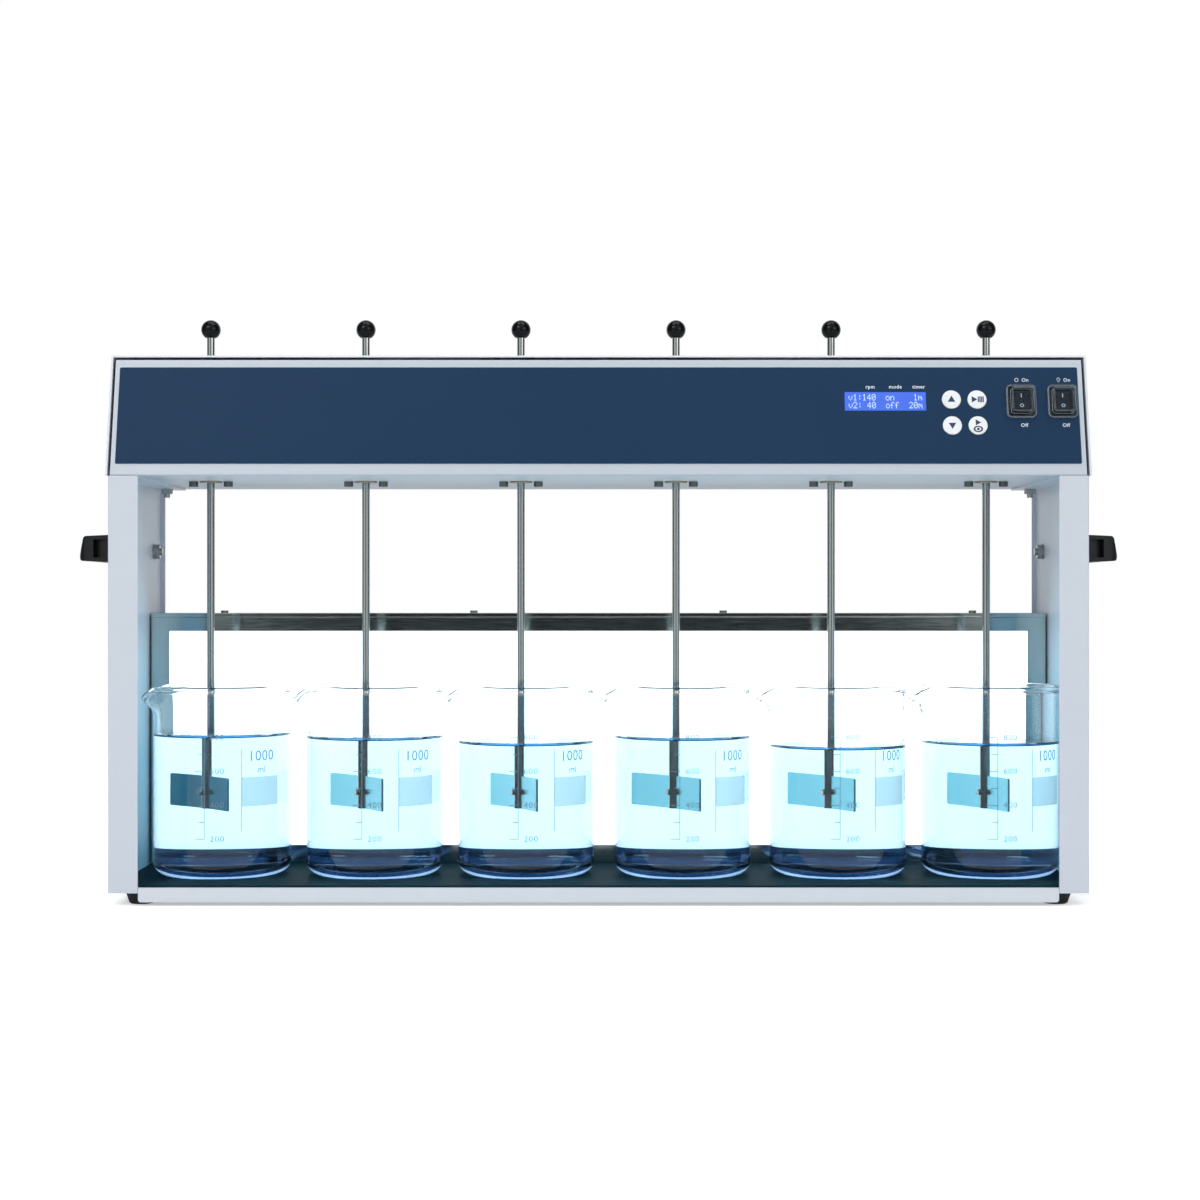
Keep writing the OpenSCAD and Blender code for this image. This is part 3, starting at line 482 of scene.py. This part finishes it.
label_hex = "#1B3552"
label_shade_hex = "#1E3956"
pale_hex = "#E6EDF5"
pale_shade_hex = "#CFDBE8"
dark_hex = "#1D3550"
dark_shade_hex = "#26405C"
film_grain_mm = 0.5
film_cloud_mm = 140
ink_mottle_mm = 2.0
print_lift = 0.04 * MM
print_depth = 0.03 * MM
label_depth = 0.4 * MM
capital_share = 0.73
lean = math.atan2(20.5, 91)
head_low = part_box("head_tray")[0].z
fascia_turn = Matrix.Rotation(math.radians(90) - lean, 4, "X")
# Words on the label: the text, its place across and up the slope, and its height
words = [("rpm", 202.0, 68.4, 2.9), ("mode", 220.7, 68.4, 2.9), ("timer", 238.0, 68.4, 2.9),
         ("On", 317.4, 73.7, 2.8), ("Off", 315.4, 38.6, 2.8), ("On", 348.4, 73.7, 2.8),
         ("Off", 346.3, 38.6, 2.8)]
power_place = (311.0, 73.9)
lamp_place = (342.2, 73.9)


def on_fascia(x_mm, slope_mm, lift=0.0):
    """Moves a piece drawn flat in X and Y onto the leaning panel, its middle at that place."""
    flat = Matrix.Translation((x_mm * MM, slope_mm * MM, lift))
    return Matrix.Translation((0, cad_low.y, head_low)) @ fascia_turn @ flat


def piece(name, mesh, material, body, smooth=False):
    """Makes an object of a mesh in the row frame and lets it ride on its body."""
    made = bpy.data.objects.new(name, mesh)
    bpy.context.scene.collection.objects.link(made)
    mesh.materials.clear()
    mesh.materials.append(material)
    mesh.polygons.foreach_set("use_smooth", [smooth] * len(mesh.polygons))
    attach(made, body)
    return made


def lettering(text, height_mm, align="CENTER", spacing=1.0, narrow=1.0, weight_mm=0.0):
    """Flat lettering as a mesh in metres, with its capitals that high and its middle at the origin."""
    curve = bpy.data.curves.new("words", "FONT")
    curve.body = text
    curve.align_x = align
    curve.align_y = "CENTER"
    curve.size = height_mm * MM / capital_share
    curve.extrude = print_depth / 2
    curve.offset = weight_mm * MM
    curve.space_character = spacing
    curve.resolution_u = 3
    holder = bpy.data.objects.new("words", curve)
    bpy.context.scene.collection.objects.link(holder)
    mesh = bpy.data.meshes.new_from_object(holder.evaluated_get(bpy.context.evaluated_depsgraph_get()))
    bpy.data.objects.remove(holder)
    mesh.transform(Matrix.Diagonal((narrow, 1, 1, 1)))
    return mesh


def plate(points, middle=(0, 0)):
    """Points and faces of a flat plate with that outline in millimetres."""
    count = len(points)
    verts = [((x + middle[0]) * MM, (y + middle[1]) * MM, z)
             for z in (-print_depth / 2, print_depth / 2) for x, y in points]
    faces = [tuple(range(count))[::-1], tuple(range(count, 2 * count))]
    faces += [(i, (i + 1) % count, count + (i + 1) % count, count + i) for i in range(count)]
    return verts, faces


def rectangle(width, height):
    """The outline of a rectangle round the origin."""
    x, y = width / 2, height / 2
    return [(-x, -y), (x, -y), (x, y), (-x, y)]


def ring_plate(outer, inner, middle=(0, 0), start=0, end=360, steps=40, squash=1.0):
    """Points and faces of a flat ring or part of one, in millimetres."""
    verts, faces = [], []
    whole = end - start == 360
    for i in range(steps + (0 if whole else 1)):
        a = math.radians(start + (end - start) * i / steps)
        for r, side in ((inner, -1), (outer, -1), (outer, 1), (inner, 1)):
            x = middle[0] + r * math.cos(a)
            y = middle[1] + r * squash * math.sin(a)
            verts.append((x * MM, y * MM, side * print_depth / 2))
    rings = len(verts) // 4
    for i in range(rings if whole else rings - 1):
        j = (i + 1) % rings
        faces += [(4 * i + k, 4 * i + (k + 1) % 4, 4 * j + (k + 1) % 4, 4 * j + k) for k in range(4)]
    if not whole:
        faces += [(3, 2, 1, 0), tuple(4 * (rings - 1) + k for k in range(4))]
    return verts, faces


def joined(parts):
    """One mesh of several lists of points and faces."""
    verts, faces = [], []
    for part_verts, part_faces in parts:
        faces += [tuple(k + len(verts) for k in face) for face in part_faces]
        verts += part_verts
    mesh = bpy.data.meshes.new("print")
    mesh.from_pydata(verts, [], faces)
    both = bmesh.new()
    both.from_mesh(mesh)
    bmesh.ops.recalc_face_normals(both, faces=both.faces)
    both.to_mesh(mesh)
    both.free()
    return mesh


def screen_ink(name, colour, shade):
    """Screen-printing ink: matt, a little thinner in places."""
    made, tree, output = blank_material(name)
    tone = blend(tree, noise(tree, ink_mottle_mm), linear(colour), linear(shade))
    principled(tree, output, {"Roughness": 0.55}, {"Base Color": tone})
    return made


label_film, tree, output = blank_material("polyester_label_film")
grain = noise(tree, film_grain_mm, Detail=2.0)
ink = noise(tree, film_cloud_mm, Detail=2.0)
principled(tree, output, {"Roughness": 0.5, "IOR": 1.5, "Specular IOR Level": 0.1},
           {"Base Color": blend(tree, ink, linear(label_hex), linear(label_shade_hex)),
            "Normal": relief(tree, grain, 0.25, 0.02)})
finish("fascia_label", label_film)
pale_ink = screen_ink("pale_screen_ink", pale_hex, pale_shade_hex)
dark_ink = screen_ink("dark_screen_ink", dark_hex, dark_shade_hex)
for k, (text, x, slope, height) in enumerate(words):
    mesh = lettering(text, height, spacing=1.08, weight_mm=0.06)
    mesh.transform(on_fascia(x, slope, label_depth + print_lift))
    piece("label_word_%d" % (k + 1), mesh, pale_ink, "frame")
power_ring = joined([ring_plate(1.5, 1.1)])
power_ring.transform(on_fascia(*power_place, label_depth + print_lift))
piece("power_ring_sign", power_ring, pale_ink, "frame")
lamp_sign = joined([ring_plate(1.3, 0.95, (0, 0.4), -60, 240, 28), plate(rectangle(1.1, 0.35), (0, -1.05)),
                    plate(rectangle(0.8, 0.3), (0, -1.6))])
lamp_sign.transform(on_fascia(*lamp_place, label_depth + print_lift))
piece("lamp_sign", lamp_sign, pale_ink, "frame")

# ---- Display ----
# A backlit blue character display, two rows of sixteen, whose characters are dots of 5 by 7. The
# dots let the pale backlight through, and the panel behind them glows an even blue.

lcd_rows = ["v1:140  on    1m", "v2: 40  off  20m"]
dot_wide, dot_high = 0.58, 0.72
dot_fill = 0.88
cell_wide, cell_high = 3.45, 6.1
row_rise = 0.35
glyphs = {
    "0": "01110 10001 10011 10101 11001 10001 01110", "1": "00100 01100 00100 00100 00100 00100 01110",
    "2": "01110 10001 00001 00010 00100 01000 11111", "4": "00010 00110 01010 10010 11111 00010 00010",
    ":": "00000 00100 00100 00000 00100 00100 00000", "v": "00000 00000 10001 10001 10001 01010 00100",
    "o": "00000 00000 01110 10001 10001 10001 01110", "n": "00000 00000 10110 11001 10001 10001 10001",
    "f": "00110 01001 01000 11100 01000 01000 01000", "m": "00000 00000 11010 10101 10101 10001 10001"}


def backlit(name, colour, shade, unlit, patch_mm, roughness, strength):
    """Plastic with light behind it, slightly uneven; unlit is the colour that it has by itself."""
    made, tree, output = blank_material(name)
    tone = blend(tree, noise(tree, patch_mm), linear(colour), linear(shade))
    principled(tree, output,
               {"Base Color": linear(unlit), "Roughness": roughness, "Emission Strength": strength},
               {"Emission Color": tone})
    return made


finish("display", backlit("backlit_display_glass", "#4A78F2", "#3F69E6", "#0C1A55", 30, 0.12, 0.92))
lcd_dot = backlit("lit_display_dot", "#D5E6FF", "#BBD4FF", "#8AA8E0", 12, 0.3, 0.8)
dots = []
for row, text in enumerate(lcd_rows):
    for column, sign in enumerate(text):
        for v, line in enumerate(glyphs.get(sign, "").split()):
            for u, dot in enumerate(line):
                if dot == "1":
                    x = (column - 7.5) * cell_wide + (u - 2) * dot_wide
                    y = (0.5 - row) * cell_high + (3 - v) * dot_high
                    dots.append(plate(rectangle(dot_wide * dot_fill, dot_high * dot_fill), (x, y)))
display_low, display_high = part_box("display")
display_slope = ((display_low.z + display_high.z) / 2 - head_low) / MM / math.cos(lean) + row_rise
lcd_text = joined(dots)
lcd_text.transform(on_fascia((display_low.x + display_high.x) / 2 / MM, display_slope, label_depth))
piece("display_characters", lcd_text, lcd_dot, "frame")

# ---- Keys ----
# Four round pushbuttons, moulded in pale grey ABS with a domed top, each with a printed sign:
# up, down, run or stop, and run and show. They ride on their own bodies and press in.

key_hex = "#D3D9E1"
key_top = 1.1 * MM
key_places = {"key_up": (262.0, 58.55), "key_down": (262.0, 38.45), "key_run": (281.0, 58.55),
              "key_view": (281.0, 38.45)}


def arrow(turn, size, middle=(0, 0)):
    """A triangle that points at that angle, in millimetres."""
    angles = [math.radians(turn + k) for k in (0, 120, 240)]
    return plate([(math.cos(a) * size, math.sin(a) * size) for a in angles], middle)


key_signs = {
    "key_up": [arrow(90, 3.2, (0, -0.3))],
    "key_down": [arrow(-90, 3.2, (0, 0.3))],
    "key_run": [arrow(0, 2.8, (-2.6, 0)),
                *(plate(rectangle(0.85, 4.4), (x, 0)) for x in (0.9, 2.1, 3.3, 4.5))],
    "key_view": [arrow(0, 2.7, (-0.4, 2.2)), ring_plate(3.5, 2.2, (0, -2.9), squash=0.7),
                 ring_plate(1.0, 0.05, (0, -2.9))]}
key_cap = moulded_plastic("moulded_abs_key", key_hex, 0.32, 0.8, 0.01)
for node, (x, slope) in key_places.items():
    finish(node, key_cap)
    round_edges(node, 0.3, 3)
    sign = joined(key_signs[node])
    sign.transform(on_fascia(x, slope, key_top))
    piece(node + "_sign", sign, dark_ink, node)

# ---- Rocker marks and splash covers ----
# Each rocker has a printed stroke on its upper half and a ring on its lower. Over it sits a clear
# moulded cap of soft vinyl: a skirt round the frame and a raised box that the finger presses.

rocker_places = {"rocker_power": 313.5, "rocker_light": 344.2}
rocker_slope = 56.7
rocker_pivot = 1.0 * MM
rocker_crown = 1.6 * MM
rocker_tilt = math.radians(8)
mark_offset = 4.1 * MM
cover_hex = "#E4ECF2"
cover_shade_hex = "#F4F7F9"
cover_highlight_hex = "#EEF3F7"
cover_haze_mm = 4


def clear(name, colour, shade, ior, roughness, wave_mm, wave_depth_mm, foot=None):
    """A clear material with slow waves, which casts its shade as a tinted shadow.

    A foot is a painted shade for its lowest part: a darker colour, and the heights at which that starts and
    stops fading.
    """
    made, tree, output = blank_material(name)
    surface = add(tree, "ShaderNodeBsdfPrincipled",
                  {"Base Color": linear(colour), "Roughness": roughness, "IOR": ior,
                   "Transmission Weight": 1.0},
                  {"Normal": relief(tree, noise(tree, wave_mm, Detail=1.0), 0.15, wave_depth_mm)})
    if foot:
        foot_colour, fade_start, fade_end = foot
        place = add(tree, "ShaderNodeTexCoord")
        height = add(tree, "ShaderNodeSeparateXYZ", links={0: place.outputs["Object"]})
        rise = spread(tree, height.outputs["Z"], 0.0, 1.0, fade_start, fade_end)
        tree.links.new(blend(tree, rise, linear(foot_colour), linear(colour)), surface.inputs["Base Color"])
    rays = add(tree, "ShaderNodeLightPath").outputs
    lighting = either(tree, rays["Is Shadow Ray"], rays["Is Diffuse Ray"])
    shadow = add(tree, "ShaderNodeBsdfTransparent", {"Color": linear(shade)})
    both = mixed(tree, lighting, surface, shadow)
    tree.links.new(both.outputs[0], output.inputs["Surface"])
    return made, tree, output


for node, x in rocker_places.items():
    marks = {"on": (joined([plate(rectangle(0.55, 3.0))]), 1), "off": (joined([ring_plate(1.45, 1.0)]), -1)}
    pivot = on_fascia(x, rocker_slope, rocker_pivot) @ Matrix.Rotation(-rocker_tilt, 4, "X")
    rise = rocker_crown + mark_offset * math.tan(rocker_tilt) + print_lift
    for name, (mark, side) in marks.items():
        face = Matrix.Translation((0, side * mark_offset, rise)) @ Matrix.Rotation(side * rocker_tilt, 4, "X")
        mark.transform(pivot @ face)
        piece("%s_mark_%s" % (node, name), mark, pale_ink, node)

finish("switch_covers", clear("clear_moulded_vinyl", cover_hex, cover_shade_hex, 1.22, 0.02, 6, 0.12)[0])
# The rounded edges get a paler material of their own: a painted highlight for the light that they catch
cover_painted_highlight, tree, output = blank_material("vinyl_edge_painted_highlight")
principled(tree, output, {"Base Color": linear(cover_highlight_hex), "IOR": 1.5, "Transmission Weight": 0.3},
           {"Roughness": spread(tree, noise(tree, cover_haze_mm, Detail=2.0), 0.12, 0.3)})
nodes["switch_covers"].data.materials.append(cover_painted_highlight)
round_edges("switch_covers", 0.4, 3)
nodes["switch_covers"].modifiers["edge"].material = 1

# ---- Beakers ----
# Low-form beakers blown in borosilicate glass and drawn at the rim into a bead and a pouring lip.
# The wall is even, the foot is rounded, and the glass is clear with a faint cold tint. In mm.

beaker_r = 52.5
beaker_h = 145.0
wall = 2.4
glass_floor = 3.0
foot_r = 10.0
inner_foot_r = foot_r - wall + 1.5
bead = 0.9
bead_r = 1.9
bead_inset = 0.7
spout_reach = 9.3
spout_dip = 8.5
spout_height = 24.0
spout_half_angle = 34.0
spout_sharpness = 1.6
spout_pinch = 0.4
around = 144
wall_heights = (30, 55, 80, 105, 118, 124, 129, 133, 137, 139)
glass_hex = "#FCFEFE"
glass_shade_hex = "#F4FCFE"
foot_shade_paint_hex = "#C0CEEE"


def foot_curve(wall_r, curve_r, floor, angles):
    """Points round the curve between a floor and a wall, by their angle from the floor."""
    turns = [math.radians(a) for a in angles]
    return [(wall_r - curve_r + curve_r * math.sin(a), floor + curve_r - curve_r * math.cos(a))
            for a in turns]


def beaker_profile():
    """Outer wall from the foot's middle to the rim, and back down inside."""
    inner = beaker_r - wall
    rim = beaker_h - bead_r
    points = [(0.0, 0.9), (30.0, 0.7), (beaker_r - foot_r - 2, 0.05)]
    points += foot_curve(beaker_r, foot_r, 0.0, range(10, 91, 10))
    points += [(beaker_r, z) for z in wall_heights]
    points += [(beaker_r + 0.1, rim - bead_r)]
    turns = [math.radians(a) for a in range(-45, 226, 22)]
    points += [(beaker_r - bead_inset + bead_r * math.cos(a), rim + bead_r * math.sin(a)) for a in turns]
    points += [(inner, z) for z in reversed(wall_heights)]
    points += foot_curve(inner, inner_foot_r, glass_floor, range(90, -1, -15))
    return points + [(25.0, glass_floor), (0.0, glass_floor)]


def pour(x, y, z):
    """Draws a point near the rim out and down into the pouring lip, which faces -X."""
    turn = abs(math.degrees(math.atan2(y, -x)))
    if turn > spout_half_angle or z < beaker_h - spout_height:
        return x, y, z
    across = (0.5 + 0.5 * math.cos(math.pi * turn / spout_half_angle)) ** spout_sharpness
    up = (z - beaker_h + spout_height) / spout_height
    up = up * up * (3 - 2 * up)
    pull = 1 + spout_reach * across * up / math.hypot(x, y)
    return x * pull, y * (1 + (pull - 1) * spout_pinch), z - spout_dip * across * up


def lathe(profile, shape=None):
    """Turns a profile in millimetres into a closed mesh in metres, with one point at each pole."""
    verts, faces, rings = [], [], []
    for r, z in profile:
        if r == 0:
            rings.append([len(verts)])
            verts.append((0, 0, z))
            continue
        rings.append(list(range(len(verts), len(verts) + around)))
        for k in range(around):
            a = 2 * math.pi * k / around
            verts.append((r * math.cos(a), r * math.sin(a), z))
    for low, high in zip(rings, rings[1:]):
        for k in range(around):
            j = (k + 1) % around
            if len(low) == 1:
                faces.append((low[0], high[j], high[k]))
            elif len(high) == 1:
                faces.append((low[k], low[j], high[0]))
            else:
                faces.append((low[k], low[j], high[j], high[k]))
    if shape:
        verts = [shape(*v) for v in verts]
    mesh = bpy.data.meshes.new("turned")
    mesh.from_pydata([tuple(c * MM for c in v) for v in verts], [], faces)
    return mesh


glass_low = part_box("jar_1")[0].z
# Towards its foot the glass turns bluer and darker: a painted shade for the dark band low in each beaker
painted_shade_at_foot = (foot_shade_paint_hex, glass_low + 4 * MM, glass_low + 22 * MM)
borosilicate = clear("blown_borosilicate_glass", glass_hex, glass_shade_hex, 1.473, 0.0, 45, 0.2,
                     painted_shade_at_foot)[0]
jar_places = []
for i in stations:
    low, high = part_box("jar_%d" % i)
    middle = Vector((high.x - (beaker_r + bead) * MM, (low.y + high.y) / 2, low.z))
    jar_places.append(middle)
    mesh = lathe(beaker_profile(), pour)
    mesh.transform(Matrix.Translation(middle))
    beaker = piece("beaker_%d" % i, mesh, borosilicate, "frame", smooth=True)
    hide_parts("jar_%d" % i)

# ---- Water ----
# About 800 ml in each beaker, faintly blue from the copper salt under test, each to its own level
# above the mat. Where the surface meets the glass in front, the meniscus shows as a dark blue line: a thin
# ring whose blue is painted shade.

water_hex = "#FFFFFF"
water_shade_hex = "#B4E6F5"
absorb_hex = "#42E8FC"
absorb_density = 3.4
water_levels = [107.0, 105.0, 101.0, 105.0, 98.0, 101.0]
wet_overlap = 0.15
corner = 0.3
meniscus = 2.2
meniscus_painted_hex = "#3A9BD8"
meniscus_shade_hex = "#5FAFD6"
meniscus_half = 96
meniscus_steps = 64


def waterline(radius, level):
    """The front half of the meniscus: a thin ring on the glass that fades out towards its two ends."""
    verts, faces = [], []
    for k in range(meniscus_steps + 1):
        turn = math.radians(-90 - meniscus_half + 2 * meniscus_half * k / meniscus_steps)
        rise = meniscus * (0.25 + 0.75 * math.cos((k / meniscus_steps - 0.5) * math.pi) ** 0.5)
        for r, z in ((0.05, -0.1), (0.05, rise), (-0.3, rise * 0.55), (-1.1, 0.0), (-0.6, -0.1)):
            out = (radius + r) * MM
            verts.append((out * math.cos(turn), out * math.sin(turn), (level + z) * MM))
    for k in range(meniscus_steps):
        faces += [(5 * k + n, 5 * k + (n + 1) % 5, 5 * k + 5 + (n + 1) % 5, 5 * k + 5 + n) for n in range(5)]
    faces += [(4, 3, 2, 1, 0), tuple(5 * meniscus_steps + n for n in range(5))]
    mesh = bpy.data.meshes.new("meniscus")
    mesh.from_pydata(verts, [], faces)
    return mesh


def water_profile(level):
    """The water's outline up to its level, a hair inside the glass so that no air lies between."""
    wet_r = beaker_r - wall + wet_overlap
    bottom = glass_floor - wet_overlap
    points = [(0.0, bottom), (25.0, bottom)] + foot_curve(wet_r, inner_foot_r, bottom, range(15, 91, 15))
    points += [(wet_r, z) for z in (30, 55, 80, level - corner, level)]
    return points + [(wet_r - corner, level), (20.0, level), (0.0, level)]


water, tree, output = clear("blue_tinted_water", water_hex, water_shade_hex, 1.333, 0.0, 40, 0.08)
absorb = add(tree, "ShaderNodeVolumeAbsorption", {"Color": linear(absorb_hex), "Density": absorb_density})
tree.links.new(absorb.outputs[0], output.inputs["Volume"])
# The meniscus ring's blue is a painted shade for the dark line that the curved surface shows
water_edge = clear("meniscus_painted_blue_shade", meniscus_painted_hex, meniscus_shade_hex, 1.333, 0.02, 20, 0.05)[0]
for i, (middle, level) in enumerate(zip(jar_places, water_levels), 1):
    mesh = lathe(water_profile(level))
    mesh.transform(Matrix.Translation(middle))
    piece("water_%d" % i, mesh, water, "frame", smooth=True)
    mesh = waterline(beaker_r - wall, level)
    mesh.transform(Matrix.Translation(middle))
    piece("water_edge_%d" % i, mesh, water_edge, "frame", smooth=True)

# ---- Printing on the beakers ----
# White ceramic enamel fired onto the glass: a scale from 200 to 800 in steps of 100, and the size
# and a plain writing field to its right, bent round the wall. Turns are in degrees.

enamel_hex = "#D7E7EE"
enamel_thin_hex = "#C4DBE6"
field_shade_hex = "#EAF3F7"
field_cover = 0.16
letter_shade_hex = "#8CC3D6"
letter_cover = 0.25
enamel_mottle_mm = 1.5
enamel_lift = 0.06
scale_turn = -4.5
scale_zero = 6.2
scale_step = 12.68
number_turn = scale_turn + 4.5
field_turn = 44.0
field_wide, field_high = 33.0, 22.0
field_middle = scale_zero + 4.75 * scale_step


def fired_enamel(name, shade, cover):
    """Thin white enamel, lit from behind: it covers the glass by that share and tints the rest."""
    made, tree, output = blank_material(name)
    thin = noise(tree, enamel_mottle_mm, Detail=2.0)
    tone = blend(tree, thin, linear(enamel_hex), linear(enamel_thin_hex))
    enamel = add(tree, "ShaderNodeBsdfPrincipled", {"Roughness": 0.5}, {"Base Color": tone})
    see_through = add(tree, "ShaderNodeBsdfTransparent", {"Color": linear(shade)})
    veil = add(tree, "ShaderNodeMixShader", {0: cover}, {1: see_through.outputs[0], 2: enamel.outputs[0]})
    tree.links.new(veil.outputs[0], output.inputs["Surface"])
    return made


def wrapped(mesh, turn, height_mm):
    """Bends a flat mesh round the wall: its X runs round the glass from that turn, its Y runs up."""
    both = bmesh.new()
    both.from_mesh(mesh)
    long_edges = [e for e in both.edges if e.calc_length() > 3 * MM]
    bmesh.ops.subdivide_edges(both, edges=long_edges, cuts=6, use_grid_fill=True)
    for v in both.verts:
        a = math.radians(turn) + v.co.x / MM / beaker_r
        r = (beaker_r + enamel_lift) * MM + v.co.z
        v.co = (r * math.sin(a), -r * math.cos(a), height_mm * MM + v.co.y)
    bent_mesh = bpy.data.meshes.new("enamel")
    both.to_mesh(bent_mesh)
    both.free()
    return bent_mesh


def bar(wide, high, turn, height_mm, x=0.0):
    """A rectangle of enamel bent round the wall at that place."""
    return wrapped(joined([plate(rectangle(wide, high), (x, 0))]), turn, height_mm)


def merged(meshes):
    """One mesh of several."""
    both = bmesh.new()
    for mesh in meshes:
        both.from_mesh(mesh)
    whole = bpy.data.meshes.new("enamel")
    both.to_mesh(whole)
    both.free()
    return whole


marks = [bar(0.5, 6 * scale_step, scale_turn, scale_zero + 5 * scale_step)]
for step in range(2, 9):
    height = scale_zero + step * scale_step
    tick = 4.6 if step % 2 else 7.2
    marks.append(bar(tick, 0.55, scale_turn, height, -tick / 2))
    if step % 2 == 0:
        number = lettering(str(step * 100), 4.4, align="LEFT", narrow=1.12, spacing=1.1)
        marks.append(wrapped(number, number_turn, height))
marks.append(bar(0.5, 62, field_turn - 18, field_middle + 1))
marks.append(wrapped(lettering("1000", 8.2, spacing=1.05), field_turn, field_middle + 26.5))
marks.append(wrapped(lettering("ml", 5.4), field_turn, field_middle + 16.2))
field = bar(field_wide, field_high, field_turn, field_middle)
printings = {"print": (merged(marks), fired_enamel("fired_enamel_lettering", letter_shade_hex, letter_cover)),
             "field": (field, fired_enamel("fired_enamel_field", field_shade_hex, field_cover))}
for i, middle in enumerate(jar_places, 1):
    for name, (printing, material) in printings.items():
        mesh = printing.copy()
        mesh.transform(Matrix.Translation(middle))
        piece("beaker_%s_%d" % (name, i), mesh, material, "frame")
